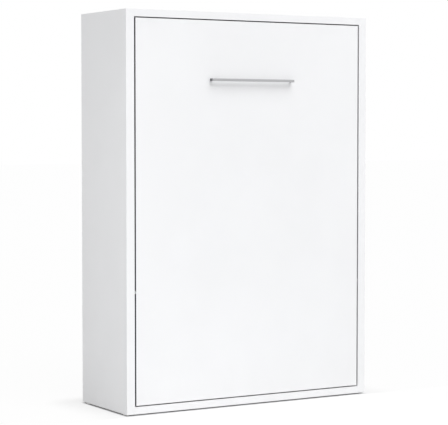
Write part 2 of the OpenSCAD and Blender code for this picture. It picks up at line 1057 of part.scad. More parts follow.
// The mattress: round long edges, round corners in plan and round end edges, over a light core
module mattress_outer() {
    intersection() {
        translate([0, 0, mattress_z0])
            linear_extrude(height = mattress_z1 - mattress_z0)
                round_rect([-mattress_x, mattress_x], [mattress_y0, mattress_y1], mattress_edge_r);
        translate([0, mattress_y1, 0])
            rotate([90, 0, 0])
                linear_extrude(height = mattress_t)
                    round_rect([-mattress_x, mattress_x], [mattress_z0, mattress_z1], mattress_corner_r);
        upright_plate(-mattress_x, 2 * mattress_x)
            round_rect([mattress_y0, mattress_y1], [mattress_z0, mattress_z1], mattress_edge_r);
    }
}

module mattress() {
    wall = mattress_wall + mattress_edge_r / 2;
    color(cloth_white)
        difference() {
            mattress_outer();
            block(
                [-mattress_x + wall, mattress_x - wall],
                [mattress_y0 + mattress_wall, mattress_y1 - mattress_wall],
                [mattress_z0 + wall, mattress_z1 - wall]
            );
        }
}

// Straps over the mattress, with their ends on the anchors on the side rails
module strap_line(grow, y0) {
    difference() {
        round_rect(
            [-strap_x - grow, strap_x + grow],
            [mattress_y0, mattress_y1 + soft_gap + grow],
            mattress_edge_r + soft_gap + grow
        );
        translate([-2 * strap_x, mattress_y0 - cut])
            square([4 * strap_x, mattress_t / 2]);
    }
    translate([-strap_x - grow, y0])
        square([2 * (strap_x + grow), mattress_y1 - mattress_t / 3 - y0]);
}

module mattress_straps() {
    color(webbing)
        for (z = strap_zs)
            translate([0, 0, z - strap_w / 2])
                linear_extrude(height = strap_w)
                    difference() {
                        strap_line(strap_t, anchor_y0);
                        strap_line(0, anchor_y0 - cut);
                    }
}

module strap_anchors() {
    color(black_rubber)
        for (s = [-1, 1])
            on_side(s)
                for (z = strap_zs)
                    block(
                        [rail_x, strap_x],
                        [anchor_y0, anchor_y0 + anchor_h],
                        [z - strap_w / 2 - anchor_margin, z + strap_w / 2 + anchor_margin]
                    );
}

// Folding leg: brackets and studs on the bed, then the leg itself
module leg_brackets() {
    color(steel)
        for (s = [-1, 1])
            on_side(s)
                difference() {
                    upright_plate(rail_x, plate_t) {
                        translate([door_back_y + leg_bracket_margin / 4, leg_z - leg_bracket_down])
                            square([rail_d - leg_bracket_margin / 4, leg_bracket_down]);
                        translate([leg_y, leg_z])
                            circle(r = leg_bracket_margin);
                        translate([leg_y, leg_z - leg_bracket_down / 2])
                            square([leg_bracket_margin, leg_bracket_down / 2]);
                        translate([door_back_y + leg_bracket_margin, leg_z])
                            square([leg_y - door_back_y - leg_bracket_margin, leg_bracket_margin]);
                    }
                    bar_x(leg_stud_d / 2 + running_gap, [rail_x - cut, bed_plate_x + cut], leg_y, leg_z);
                    leg_bracket_screw_shapes(fixed_gap);
                }
}

module leg_bracket_screws() {
    color(zinc)
        for (s = [-1, 1])
            on_side(s)
                leg_bracket_screw_shapes(0);
}

module leg_pivot_studs() {
    head_x = arm_x + soft_gap;
    color(zinc)
        for (s = [-1, 1])
            on_side(s) {
                bar_x(leg_stud_d / 2, [rail_x, head_x + leg_stud_head_t], leg_y, leg_z);
                bar_x(leg_stud_d / 2 + leg_stud_flange_w, [bed_plate_x, crank_x - soft_gap], leg_y, leg_z);
                bar_x(leg_stud_d / 2 + leg_stud_flange_w, [head_x, head_x + leg_stud_head_t], leg_y, leg_z);
            }
}

// Direction of the folded arms, and of the crank that is square to them, in Y and Z
arm_dir = [cos(leg_fold_angle), -sin(leg_fold_angle)];
crank_dir = [-sin(leg_fold_angle), -cos(leg_fold_angle)];
leg_pivot = [leg_y, leg_z];
arm_start = leg_pivot + crank_l * crank_dir;
arm_end = arm_start + arm_l * arm_dir;

module leg_arms() {
    color(frame_grey)
        for (s = [-1, 1])
            on_side(s)
                difference() {
                    upright_plate(arm_x, leg_arm_t)
                        strip(arm_start, arm_end, leg_arm_w / 2);
                    upright_plate(arm_x + tube_wall, leg_arm_t - 2 * tube_wall)
                        strip(arm_start, arm_end, leg_arm_w / 2 - tube_wall);
                }
}

module leg_cranks() {
    color(steel)
        for (s = [-1, 1])
            on_side(s)
                difference() {
                    upright_plate(crank_x, crank_t) {
                        strip(leg_pivot, arm_start, leg_arm_w / 2);
                        strip(arm_start, arm_start + crank_grip * arm_dir, leg_arm_w / 2);
                        translate(leg_pivot)
                            circle(r = leg_stud_d / 2 + leg_stud_flange_w + leg_washer_t);
                    }
                    bar_x(leg_stud_d / 2 + running_gap, [crank_x - cut, arm_x + cut], leg_y, leg_z);
                }
}

module leg_crossbar() {
    color(frame_grey)
        difference() {
            bar_x(crossbar_d / 2, [-arm_x, arm_x], arm_end[0], arm_end[1]);
            bar_x(crossbar_d / 2 - tube_wall, [-arm_x - cut, arm_x + cut], arm_end[0], arm_end[1]);
        }
}

module leg_feet() {
    color(black_rubber)
        for (s = [-1, 1])
            on_side(s)
                difference() {
                    bar_x(foot_r, [foot_x - foot_l / 2, foot_x + foot_l / 2], arm_end[0], arm_end[1]);
                    bar_x(
                        crossbar_d / 2 + running_gap,
                        [foot_x - foot_l / 2 - cut, foot_x + foot_l / 2 + cut],
                        arm_end[0],
                        arm_end[1]
                    );
                }
}

// A gas spring along its own axis: +Z runs from the upper pin to the lower pin
module along_spring(s) {
    on_side(s)
        translate([spring_x, spring_top[0], spring_top[1]])
            rotate([90 + spring_angle, 0, 0])
                rotate([180, 0, 0])
                    children();
}

module eye(at, bore_r, wall) {
    translate([-eye_t / 2, 0, at])
        rotate([0, 90, 0])
            difference() {
                cylinder(r = bore_r + wall, h = eye_t);
                translate([0, 0, -cut])
                    cylinder(r = bore_r + running_gap, h = eye_t + 2 * cut);
            }
}

module gas_cylinder(s) {
    tube_r = spring_d / 2;
    color(black_rubber)
        along_spring(s)
            difference() {
                union() {
                    eye(0, stud_d / 2, eye_wall);
                    translate([0, 0, stud_d / 2 + eye_wall / 2])
                        cylinder(r = neck_r, h = cylinder_neck + eye_wall);
                    translate([0, 0, cylinder_start])
                        cylinder(r = tube_r, h = cylinder_end - cylinder_start);
                }
                translate([0, 0, cylinder_start + cylinder_cap])
                    cylinder(
                        r = tube_r - cylinder_wall,
                        h = cylinder_end - cylinder_start - 2 * cylinder_cap
                    );
                translate([0, 0, cylinder_end - cylinder_cap - cut])
                    cylinder(r = spring_rod_d / 2 + running_gap, h = cylinder_cap + 2 * cut);
            }
}

module left_gas_cylinder() {
    gas_cylinder(-1);
}

module right_gas_cylinder() {
    gas_cylinder(1);
}

module gas_rod(s) {
    color(steel)
        along_spring(s) {
            translate([0, 0, piston_end - piston_l])
                cylinder(r = spring_d / 2 - cylinder_wall - fixed_gap, h = piston_l);
            translate([0, 0, piston_end - piston_l])
                cylinder(r = spring_rod_d / 2, h = rod_neck_start - piston_end + piston_l + neck_step);
            translate([0, 0, rod_neck_start])
                difference() {
                    cylinder(r = neck_r, h = rod_neck_l + eye_wall / 2);
                    translate([-eye_t, 0, spring_l - rod_neck_start])
                        rotate([0, 90, 0])
                            cylinder(r = tail_bolt_d / 2 + running_gap, h = 2 * eye_t);
                }
            eye(spring_l, tail_bolt_d / 2, eye_wall);
        }
}

module left_gas_rod() {
    gas_rod(-1);
}

module right_gas_rod() {
    gas_rod(1);
}

// The lower pins turn in the rods' eyes and end just short of the bed's plates
module tail_bolt(s) {
    shoulder_r = tail_bolt_d / 2 + pin_shoulder;
    end_x = bed_plate_x + soft_gap;
    head_x = eye_x1 + soft_gap;
    color(zinc)
        on_side(s) {
            bar_x(tail_bolt_d / 2, [end_x, head_x + stud_head_t], spring_tail[0], spring_tail[1]);
            bar_x(shoulder_r, [end_x, eye_x0], spring_tail[0], spring_tail[1]);
            bar_x(shoulder_r, [head_x, head_x + stud_head_t], spring_tail[0], spring_tail[1]);
        }
}

module left_tail_bolt() {
    tail_bolt(-1);
}

module right_tail_bolt() {
    tail_bolt(1);
}

left_side_panel();
right_side_panel();
top_panel();
bottom_panel();
upper_back_rail();
middle_back_rail();
lower_back_rail();
back_panel_upper();
back_panel_lower();
back_panel_joiner();
floor_glides();
wall_fixing_plates();
cam_locks();
cam_bolts();
back_rail_dowels();
left_mechanism_plate();
right_mechanism_plate();
mechanism_plate_screws();
left_pivot_axle();
right_pivot_axle();
spring_studs();
door_stops();
front_panel();
edge_guide_buttons();
handle_bar();
handle_posts();
handle_screws();
left_side_rail();
right_side_rail();
head_rail();
foot_rail();
centre_beam();
cross_rails();
panel_brackets();
panel_bracket_screws();
left_bed_plate();
right_bed_plate();
bed_plate_screws();
pivot_bushes();
slats();
side_slat_holders();
centre_slat_holders();
mattress();
mattress_straps();
strap_anchors();
leg_brackets();
leg_bracket_screws();
leg_pivot_studs();
leg_arms();
leg_cranks();
leg_crossbar();
leg_feet();
left_gas_cylinder();
right_gas_cylinder();
left_gas_rod();
right_gas_rod();
left_tail_bolt();
right_tail_bolt();
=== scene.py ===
"""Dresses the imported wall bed: boards, frame, springs, slats, mattress, straps, leg and stage."""

import math

import bmesh
import bpy
from bpy.props import FloatProperty, FloatVectorProperty, IntProperty, PointerProperty
from mathutils import Matrix, Vector


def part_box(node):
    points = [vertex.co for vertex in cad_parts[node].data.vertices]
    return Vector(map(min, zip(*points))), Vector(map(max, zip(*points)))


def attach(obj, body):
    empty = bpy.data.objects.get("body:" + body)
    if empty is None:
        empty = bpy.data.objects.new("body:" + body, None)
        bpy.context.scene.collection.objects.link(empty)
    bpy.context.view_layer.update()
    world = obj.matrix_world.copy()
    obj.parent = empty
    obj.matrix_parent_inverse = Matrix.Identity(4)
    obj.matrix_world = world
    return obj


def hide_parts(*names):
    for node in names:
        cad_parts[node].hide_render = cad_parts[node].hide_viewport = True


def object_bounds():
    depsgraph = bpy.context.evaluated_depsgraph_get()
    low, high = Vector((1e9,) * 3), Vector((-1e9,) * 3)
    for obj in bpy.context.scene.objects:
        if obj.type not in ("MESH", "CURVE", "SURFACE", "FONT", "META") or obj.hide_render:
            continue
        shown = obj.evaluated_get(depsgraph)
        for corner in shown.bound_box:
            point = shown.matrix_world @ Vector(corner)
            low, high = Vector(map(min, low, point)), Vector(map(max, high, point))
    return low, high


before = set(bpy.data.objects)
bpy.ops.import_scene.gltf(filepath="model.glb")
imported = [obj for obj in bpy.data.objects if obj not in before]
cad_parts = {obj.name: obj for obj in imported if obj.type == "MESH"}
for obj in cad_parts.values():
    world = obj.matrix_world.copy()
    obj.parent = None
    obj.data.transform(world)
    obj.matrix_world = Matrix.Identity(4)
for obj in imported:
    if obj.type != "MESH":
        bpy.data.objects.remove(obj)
CAD_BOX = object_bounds()

bl_info = {
    "name": "Wall Bed",
    "version": (1, 0, 0),
    "blender": (4, 5, 0),
    "location": "3D View > Sidebar > Wall Bed",
    "description": "Builds the visible pieces of a vertical wall bed over its packed solids",
    "category": "Object",
}

MM = 0.001
MERGE = 0.01 * MM
FLAT = math.radians(0.3)
SHARP = math.radians(30)
SIDES = ("left", "right")
WHITE = (1, 1, 1, 1)

DOOR_LO, DOOR_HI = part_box("front_panel")
SIDE_LO, SIDE_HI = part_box("right_side_panel")
BED_LO, BED_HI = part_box("mattress")
STRAP_LO, STRAP_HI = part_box("mattress_straps")
SLAT_LO, SLAT_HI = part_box("slats")
SHEET_LO, SHEET_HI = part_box("back_panel_lower")

STRAP_WIDTH = 40 * MM
SLAT_ROWS = 14
CABINET_BAND = 2 * MM
DOOR_BAND = 1.6 * MM
JOINT = 0.35 * MM


# Sizes and colours
def length(name, words, value, low, high):
    """A length property, its numbers in millimetres."""
    limits = {"default": value * MM, "min": low * MM, "max": high * MM}
    return FloatProperty(name=name, description=words, unit="LENGTH", **limits)


def count(name, words, value, low, high):
    return IntProperty(name=name, description=words, default=value, min=low, max=high)


def colour(name, words, value):
    limits = {"default": value, "min": 0.0, "max": 1.0}
    return FloatVectorProperty(name=name, description=words, size=3, subtype="COLOR", **limits)


class WallBedSizes(bpy.types.PropertyGroup):
    board_round: length("Board edges", "Radius of the boards' banded edges", 1.0, 0.2, 3)
    metal_round: length("Plate edges", "Radius of the steel plates' edges", 0.5, 0.1, 1)
    tube_round: length("Tube corners", "Radius of the frame tubes' corners", 3, 1, 6)
    slat_round: length("Slat edges", "Radius of the slats' long edges", 2.5, 0.5, 3.5)
    plastic_round: length("Moulding edges", "Radius of the mouldings' edges", 0.8, 0.2, 2)
    handle_round: length("Handle edges", "Radius of the handle's edges", 1.2, 0.3, 3)
    quilt_squares: count("Quilt panel", "Cloth squares along each panel", 8, 5, 20)
    puff: length("Quilt height", "How far a quilted panel may swell", 9, 2, 12)
    seam_depth: length("Seam depth", "How far the stitching pulls the cover in", 6, 1, 10)
    piping: length("Piping", "Radius of the piping round the mattress", 3.6, 2, 5)
    cloth_grid: length("Cloth grid", "Size of the cloth's squares in the filling", 17, 10, 40)
    foot_ribs: count("Foot ribs", "Ribs round each rubber foot", 9, 3, 16)


class WallBedColours(bpy.types.PropertyGroup):
    board: colour("Boards", "White laminate", (0.900, 0.905, 0.918))
    fibre: colour("Back sheets", "Raw fibreboard at the back", (0.33, 0.20, 0.11))
    plastic: colour("White plastic", "Glides, bushes and buttons", (0.80, 0.80, 0.79))
    zinc: colour("Zinc", "Bright zinc plating", (0.66, 0.68, 0.71))
    steel: colour("Plates", "Nickel-grey plated steel", (0.50, 0.51, 0.53))
    chrome: colour("Rods", "Hard chrome", (0.75, 0.76, 0.78))
    cylinder: colour("Cylinders", "Black enamel", (0.012, 0.012, 0.013))
    handle: colour("Handle", "Brushed metal", (0.42, 0.42, 0.432))
    # The posts take a darker copy of the handle's metal: painted shade on their sides.
    post: colour("Handle posts", "Darker brushed metal", (0.18, 0.184, 0.19))
    # The front panel's edges are near black: painted shade that darkens the gaps round the panel.
    band: colour("Panel edges", "Dark edge band of the front panel", (0.07, 0.072, 0.076))
    enamel: colour("Frame", "Grey powder coating", (0.27, 0.29, 0.31))
    birch: colour("Slats", "Birch veneer", (0.66, 0.46, 0.26))
    moulding: colour("Slat holders", "Black nylon", (0.02, 0.02, 0.021))
    rubber: colour("Rubber", "Stops and feet", (0.016, 0.016, 0.016))
    cloth: colour("Mattress", "Knitted cover", (0.78, 0.77, 0.74))
    border: colour("Border", "Side cloth and piping", (0.55, 0.56, 0.57))
    webbing: colour("Straps", "Woven straps", (0.05, 0.055, 0.062))
    floor: colour("Floor", "Floor and backdrop", (0.76, 0.76, 0.76))


def sizes():
    return bpy.context.scene.wall_bed_sizes


def colours():
    return bpy.context.scene.wall_bed_colours


# Shaders
class Term:
    """A shader socket in a sum: each sum adds its Math node."""

    def __init__(self, paint, socket):
        self.paint = paint
        self.socket = socket

    def maths(self, operation, *terms):
        return self.paint.node("Math", {"operation": operation}, dict(enumerate(terms)))

    def __add__(self, other):
        return self.maths("ADD", self, other)

    __radd__ = __add__

    def __sub__(self, other):
        return self.maths("SUBTRACT", self, other)

    def __rsub__(self, other):
        return self.maths("SUBTRACT", other, self)

    def __mul__(self, other):
        return self.maths("MULTIPLY", self, other)

    __rmul__ = __mul__

    def __truediv__(self, other):
        return self.maths("DIVIDE", self, other)

    def __abs__(self):
        return self.maths("ABSOLUTE", self)

    def __gt__(self, other):
        return self.maths("GREATER_THAN", self, other)

    def __lt__(self, other):
        return self.maths("LESS_THAN", self, other)

    def highest(self, other):
        return self.maths("MAXIMUM", self, other)

    def power(self, other):
        return self.maths("POWER", self, other)

    def whole(self):
        return self.maths("FLOOR", self)

    def wrapped(self, step):
        """Distance from the nearest multiple of a step."""
        return self.maths("PINGPONG", self, step / 2)

    def wave(self, step):
        """A sine wave that repeats at a step."""
        return self.maths("SINE", self * (2 * math.pi / step))


class Paint:
    """One material, with its shader and the points of the piece in metres."""

    def __init__(self, name, **constants):
        self.material = bpy.data.materials.new(name)
        self.material.use_nodes = True
        self.tree = self.material.node_tree
        self.shader = self.tree.nodes["Principled BSDF"]
        for key, value in constants.items():
            self.shader.inputs[key.replace("_", " ")].default_value = value
        self.points = self.node("TexCoord", out="Object")
        parts = self.node("SeparateXYZ", values={0: self.points}).socket.node
        self.x, self.y, self.z = (Term(self, socket) for socket in parts.outputs)

    def node(self, kind, settings=None, values=None, out=0):
        """Adds a node: its settings first, then the values or links of its sockets."""
        made = self.tree.nodes.new("ShaderNode" + kind)
        for key, value in (settings or {}).items():
            if key == "stops":
                stops = made.color_ramp.elements
                for at, _ in value[1:-1]:
                    stops.new(at)
                for stop, (at, tint) in zip(stops, value):
                    stop.position = at
                    stop.color = (*tint, 1)
            else:
                setattr(made, key, value)
        for key, value in (values or {}).items():
            if isinstance(value, Term):
                self.tree.links.new(value.socket, made.inputs[key])
            else:
                made.inputs[key].default_value = value
        return Term(self, made.outputs[out])

    def set(self, **links):
        for key, term in links.items():
            self.tree.links.new(term.socket, self.shader.inputs[key.replace("_", " ")])
        return self.material

    def finished(self, tint, rough, height, depth, strength):
        """Links the colour, the roughness and a bump of that depth in metres."""
        values = {"Height": height, "Distance": depth, "Strength": strength}
        return self.set(Base_Color=tint, Roughness=rough, Normal=self.node("Bump", values=values))

    def noise(self, x, y=None, z=None, detail=2.0, rough=0.5):
        """Noise with that many features per metre on each axis."""
        scale = (x, y or x, z or x)
        at = self.node("Mapping", values={"Vector": self.points, "Scale": scale})
        values = {"Vector": at, "Scale": 1.0, "Detail": detail, "Roughness": rough}
        return self.node("TexNoise", values=values, out="Fac")

    def cells(self, number):
        values = {"Vector": self.points, "Scale": number}
        tint = self.node("TexVoronoi", values=values, out="Color")
        return self.node("SeparateColor", values={0: tint})

    def mix(self, factor, *tints):
        """Mixes two colours, each three numbers or a socket."""
        first, second = (tint if isinstance(tint, Term) else (*tint, 1) for tint in tints)
        values = {0: factor, 6: first, 7: second}
        return self.node("Mix", {"data_type": "RGBA"}, values, out=2)

    def ramp(self, factor, *stops):
        return self.node("ValToRGB", {"stops": stops}, {0: factor})

    def between(self, term, low, high, first=0.0, second=1.0):
        """Runs smoothly from the first value to the second between two limits."""
        values = {"Value": term, "From Min": low, "From Max": high, "To Min": first}
        values["To Max"] = second
        return self.node("MapRange", {"interpolation_type": "SMOOTHSTEP"}, values)


def shade(tint, factor):
    return tuple(min(1.0, part * factor) for part in tint)


def laminate(name, white, seams):
    """White melamine: a fine pearl, faint mottling, darker patches low down and its bands' joint
    lines.
    """
    paint = Paint(name, Specular_IOR_Level=0.4)
    mottled = paint.noise(2.5, detail=3.0)
    pearl = paint.noise(1400, detail=1.0)
    # Darker, warm grey patches towards the floor, fading out by 0.35 m.
    low_darkening = paint.between(paint.z, 0.0, 0.35, 1.0, 0.0) * paint.noise(9, 9, 3, detail=4.0)
    tint = paint.mix(paint.between(mottled, 0.35, 0.65), white, shade(white, 0.985))
    tint = paint.mix(low_darkening * 0.14, tint, (0.62, 0.60, 0.57))
    joints = None
    for axis, place in seams:
        line = abs(getattr(paint, axis) - place) < JOINT / 2
        joints = line if joints is None else joints.highest(line)
    tint = paint.mix(joints * 0.3, tint, shade(white, 0.5))
    height = pearl * 0.25 - joints
    rough = 0.40 + 0.10 * mottled + 0.06 * pearl
    return paint.finished(tint, rough, height, 0.08 * MM, 0.5)


def fibreboard(name, raw):
    """White lacquer inside, raw pressed fibres behind."""
    paint = Paint(name, Specular_IOR_Level=0.3)
    fibres = paint.noise(160, 160, 700, detail=4.0, rough=0.7)
    flecks = paint.noise(900, detail=2.0)
    stops = (0.3, shade(raw, 0.72)), (0.5, raw), (0.72, shade(raw, 1.35))
    brown = paint.ramp(fibres, *stops)
    brown = paint.mix(paint.between(flecks, 0.62, 0.72) * 0.5, brown, shade(raw, 1.7))
    back = paint.y > (SHEET_LO.y + SHEET_HI.y) / 2
    tint = paint.mix(back, shade(tuple(colours().board), 0.96), brown)
    rough = 0.42 + 0.38 * back
    height = fibres * back + 0.1 * flecks
    return paint.finished(tint, rough, height, 0.15 * MM, 0.6)


def moulded(name, tint, rough, grain=0.12):
    """Moulded plastic: fine spark-eroded grain and slight flow marks."""
    paint = Paint(name, Specular_IOR_Level=0.45)
    fine = paint.noise(1700, detail=2.0)
    flow = paint.noise(35, 35, 12, detail=3.0)
    base = paint.mix(flow * 0.5, shade(tint, 0.92), shade(tint, 1.08))
    gloss = rough + 0.12 * flow + 0.1 * fine
    return paint.finished(base, gloss, fine, grain * MM, 0.5)


def plated(name, tint, rough, streaks=(900, 900, 60)):
    """Plated steel: crystal patches, fine rolling marks and a little tarnish."""
    paint = Paint(name, Metallic=1.0)
    patches = paint.cells(240)
    marks = paint.noise(*streaks, detail=3.0, rough=0.6)
    tarnish = paint.noise(14, detail=4.0)
    base = paint.mix(patches * 0.35, shade(tint, 0.94), shade(tint, 1.06))
    base = paint.mix(paint.between(tarnish, 0.55, 0.8) * 0.35, base, (0.42, 0.40, 0.36))
    gloss = rough + 0.10 * patches + 0.12 * marks
    return paint.finished(base, gloss, marks, 0.03 * MM, 0.6)


def brushed(name, tint):
    """Brushed metal: long fine scratches, and rubbed places where hands pull the bar."""
    paint = Paint(name, Metallic=1.0)
    scratches = paint.noise(18, 2600, 2600, detail=3.0, rough=0.65)
    broad = paint.noise(3, 500, 500, detail=1.0)
    rubbed = paint.between(abs(paint.x), 0.05, 0.2, 1.0, 0.0) * paint.noise(40, detail=3.0)
    base = paint.mix(scratches, shade(tint, 0.86), shade(tint, 1.12))
    gloss = 0.27 + 0.16 * scratches + 0.08 * broad - 0.07 * rubbed
    return paint.finished(base, gloss, scratches, 0.03 * MM, 0.7)


def powder(name, tint, rough=0.42):
    """Powder coating: orange peel with fine flecks."""
    paint = Paint(name, Specular_IOR_Level=0.5)
    peel = paint.noise(420, detail=1.0)
    flecks = paint.noise(3000, detail=0.0)
    wear = paint.between(paint.noise(22, detail=5.0, rough=0.7), 0.66, 0.74)
    base = paint.mix(paint.between(flecks, 0.6, 0.7) * 0.4, tint, shade(tint, 1.6))
    base = paint.mix(wear * 0.25, base, shade(tint, 1.25))
    gloss = rough + 0.08 * peel + 0.1 * wear
    return paint.finished(base, gloss, peel, 0.12 * MM, 0.5)


def veneer(name, tint):
    """Birch plywood slats: grain along, plies on the edges, each slat its own shade."""
    paint = Paint(name, Specular_IOR_Level=0.4, Coat_Roughness=0.25)
    pitch = (SLAT_HI.z - SLAT_LO.z) / SLAT_ROWS
    number = ((paint.z - SLAT_LO.z) / pitch).whole() + 20 * (paint.x > 0)
    own = paint.node("TexWhiteNoise", {"noise_dimensions": "1D"}, {"W": number}, out="Value")
    values = {0: paint.x * 5.0, 1: paint.y * 160, 2: paint.z * 110 + own * 40}
    across = paint.node("CombineXYZ", values=values)
    values = {"Vector": across, "Scale": 1.0, "Detail": 5.0, "Roughness": 0.62}
    grain = paint.node("TexNoise", values=values)
    pores = paint.noise(60, 2400, 2400, detail=2.0)
    stops = (0.28, shade(tint, 0.72)), (0.5, tint), (0.75, shade(tint, 1.28))
    base = paint.ramp(grain, *stops)
    base = paint.mix(own * 0.35, base, shade(tint, 0.8))
    base = paint.mix(paint.between(pores, 0.6, 0.75) * 0.35, base, shade(tint, 0.5))
    plies = ((paint.y - SLAT_LO.y - 0.8 * MM).wrapped(1.6 * MM) < 0.18 * MM) * 0.65
    base = paint.mix(plies, base, shade(tint, 0.35))
    gloss = 0.36 + 0.14 * grain + 0.1 * pores
    return paint.finished(base, gloss, grain - 0.5 * pores, 0.12 * MM, 0.5)


def knitted(name, tint, quilted=False):
    """Knitted cover: loops, a cross rib, soft unevenness and, where it is quilted, stitches."""
    paint = Paint(name, Sheen_Weight=0.35, Sheen_Roughness=0.5, Specular_IOR_Level=0.2)
    rib = paint.x.wave(2.2 * MM) * paint.z.wave(3.1 * MM)
    loops = rib * 0.5 + 0.5 * paint.y.wave(2.4 * MM)
    fuzz = paint.noise(900, detail=3.0)
    broad = paint.noise(6, detail=3.0)
    base = paint.mix(paint.between(broad, 0.3, 0.7), shade(tint, 0.96), shade(tint, 1.03))
    base = paint.mix((0.5 - 0.5 * loops) * 0.18, base, shade(tint, 0.7))
    base = paint.mix(paint.between(fuzz, 0.35, 0.7) * 0.2, base, shade(tint, 1.15))
    height = loops * 0.6 + fuzz * 0.6
    if quilted:
        step = quilt_step()
        along = (paint.x + paint.z).wrapped(5 * MM) > 0.7 * MM
        upright = paint.x.wrapped(step) < 0.8 * MM
        level = (paint.z - quilt_start()).wrapped(step) < 0.8 * MM
        middle = (BED_LO.y + BED_HI.y) / 2
        face = abs(paint.y - middle) > (BED_HI.y - BED_LO.y) / 2 - 30 * MM
        stitches = upright.highest(level) * along * face
        base = paint.mix(stitches * 0.8, base, shade(tint, 0.62))
        height = height + 2.5 * stitches
    return paint.finished(base, 0.78 + 0.14 * fuzz, height, 0.35 * MM, 0.6)


def woven(name, tint):
    """Woven webbing: slanting ribs, a thicker edge cord and lighter stitching near its ends."""
    paint = Paint(name, Sheen_Weight=0.25, Sheen_Roughness=0.4, Specular_IOR_Level=0.3)
    along = abs(paint.x) - paint.y
    half = (STRAP_HI.z - STRAP_LO.z) / 2
    middle = (STRAP_HI.z + STRAP_LO.z) / 2
    across = abs(abs(paint.z - middle) - (half - STRAP_WIDTH / 2))
    slant = (along + 0.5 * across).wrapped(2.4 * MM) / (1.2 * MM)
    threads = across.wrapped(1.6 * MM) / (0.8 * MM)
    weave = slant * 0.6 + threads * 0.4
    edge = paint.between(across, 17.5 * MM, 18.5 * MM)
    base = paint.mix(weave, shade(tint, 0.55), shade(tint, 1.7))
    base = paint.mix(edge * 0.5, base, shade(tint, 1.9))
    end = (abs(paint.x) > BED_HI.x - 1 * MM) * (paint.y < STRAP_LO.y + 34 * MM)
    seam = (across > 14 * MM) * (across < 15 * MM)
    thread = end * seam * (along.wrapped(4 * MM) > 0.6 * MM)
    base = paint.mix(thread * 0.9, base, (0.42, 0.43, 0.44))
    height = weave + 1.5 * edge + 2 * thread
    return paint.finished(base, 0.6 + 0.2 * weave, height, 0.3 * MM, 0.7)


# Each finish: how it is made, its colour and what else its maker asks for
RECIPES = {
    "cabinet_laminate": (laminate, "board", [("y", SIDE_LO.y + CABINET_BAND)]),
    "door_laminate": (
        laminate,
        "board",
        [
            ("x", DOOR_LO.x + DOOR_BAND),
            ("x", DOOR_HI.x - DOOR_BAND),
            ("z", DOOR_LO.z + DOOR_BAND),
            ("z", DOOR_HI.z - DOOR_BAND),
        ],
    ),
    # Near-black edges of the front panel: painted shade for the gaps round it.
    "edge_band": (moulded, "band", 0.45, 0.05),
    "back_fibreboard": (fibreboard, "fibre"),
    "white_moulding": (moulded, "plastic", 0.38),
    "bright_zinc": (plated, "zinc", 0.26),
    "plate_steel": (plated, "steel", 0.34),
    "chrome_rod": (plated, "chrome", 0.05, (60, 60, 60)),
    "cylinder_enamel": (powder, "cylinder", 0.2),
    "handle_metal": (brushed, "handle"),
    # A darker copy of the handle's finish: painted shade on the posts.
    "post_metal": (brushed, "post"),
    "frame_powder": (powder, "enamel"),
    "slat_birch": (veneer, "birch"),
    "black_moulding": (moulded, "moulding", 0.42),
    "soft_rubber": (moulded, "rubber", 0.6, 0.2),
    "quilted_cover": (knitted, "cloth", True),
    "border_cloth": (knitted, "border"),
    "strap_webbing": (woven, "webbing"),
}
FINISHES = {}


def finish(name):
    """The material of that name, made at its first use."""
    if name not in FINISHES:
        maker, tint, *rest = RECIPES[name]
        FINISHES[name] = maker(name, tuple(getattr(colours(), tint)), *rest)
    return FINISHES[name]


# Tools of the bench
def pick(*pieces):
    """Leaves only these pieces selected, the first one active."""
    bpy.ops.object.select_all(action="DESELECT")
    for piece in pieces:
        piece.select_set(True)
    bpy.context.view_layer.objects.active = pieces[0]


def added(add, **settings):
    """What an adding operator makes when nothing is selected."""
    bpy.ops.object.select_all(action="DESELECT")
    add(**settings)
    return bpy.context.object


def joined(pieces):
    """Joins pieces into the first one."""
    pick(*pieces)
    bpy.ops.object.join()
    return bpy.context.object


def settled(piece):
    """Puts a piece's place, turn and scale into its mesh."""
    pick(piece)
    bpy.ops.object.transform_apply(location=True, rotation=True, scale=True)
    return piece


def edit(piece, mode="VERT"):
    pick(piece)
    bpy.ops.object.mode_set(mode="EDIT")
    bpy.ops.mesh.select_mode(type=mode)
    bpy.ops.mesh.select_all(action="SELECT")


def done():
    bpy.ops.object.mode_set(mode="OBJECT")
    return bpy.context.object


def modifier(piece, kind, **settings):
    """Adds a modifier and applies it."""
    pick(piece)
    bpy.ops.object.modifier_add(type=kind)
    made = piece.modifiers[-1]
    for key, value in settings.items():
        setattr(made, key, value)
    bpy.ops.object.modifier_apply(modifier=made.name)
    return piece


def linked(name, mesh):
    """A new piece in the scene with a copy of a mesh."""
    piece = bpy.data.objects.new(name, mesh.copy())
    bpy.context.scene.collection.objects.link(piece)
    return piece


def traced(node):
    """A new piece on a node's form, its triangles joined and its flat faces made whole."""
    piece = linked(node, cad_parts[node].data)
    pick(piece)
    bpy.ops.mesh.customdata_custom_splitnormals_clear()
    edit(piece)
    bpy.ops.mesh.remove_doubles(threshold=MERGE)
    bpy.ops.mesh.dissolve_limited(angle_limit=FLAT)
    return done()


def rounded(piece, radius, segments=2):
    """Rounds every sharp edge."""
    settings = {"limit_method": "ANGLE", "angle_limit": SHARP, "use_clamp_overlap": True}
    return modifier(piece, "BEVEL", width=radius, segments=segments, **settings)


def rounded_where(piece, test, radius, segments=3):
    """Rounds the edges that pass a test."""
    edit(piece, "EDGE")
    mesh = bmesh.from_edit_mesh(piece.data)
    for part in mesh.verts[:] + mesh.edges[:] + mesh.faces[:]:
        part.select = False
    for edge in mesh.edges:
        if test(edge):
            edge.select_set(True)
    mesh.select_flush_mode()
    bmesh.update_edit_mesh(piece.data)
    settings = {"profile": 0.5, "affect": "EDGES", "clamp_overlap": True}
    bpy.ops.mesh.bevel(offset=radius, segments=segments, **settings)
    return done()


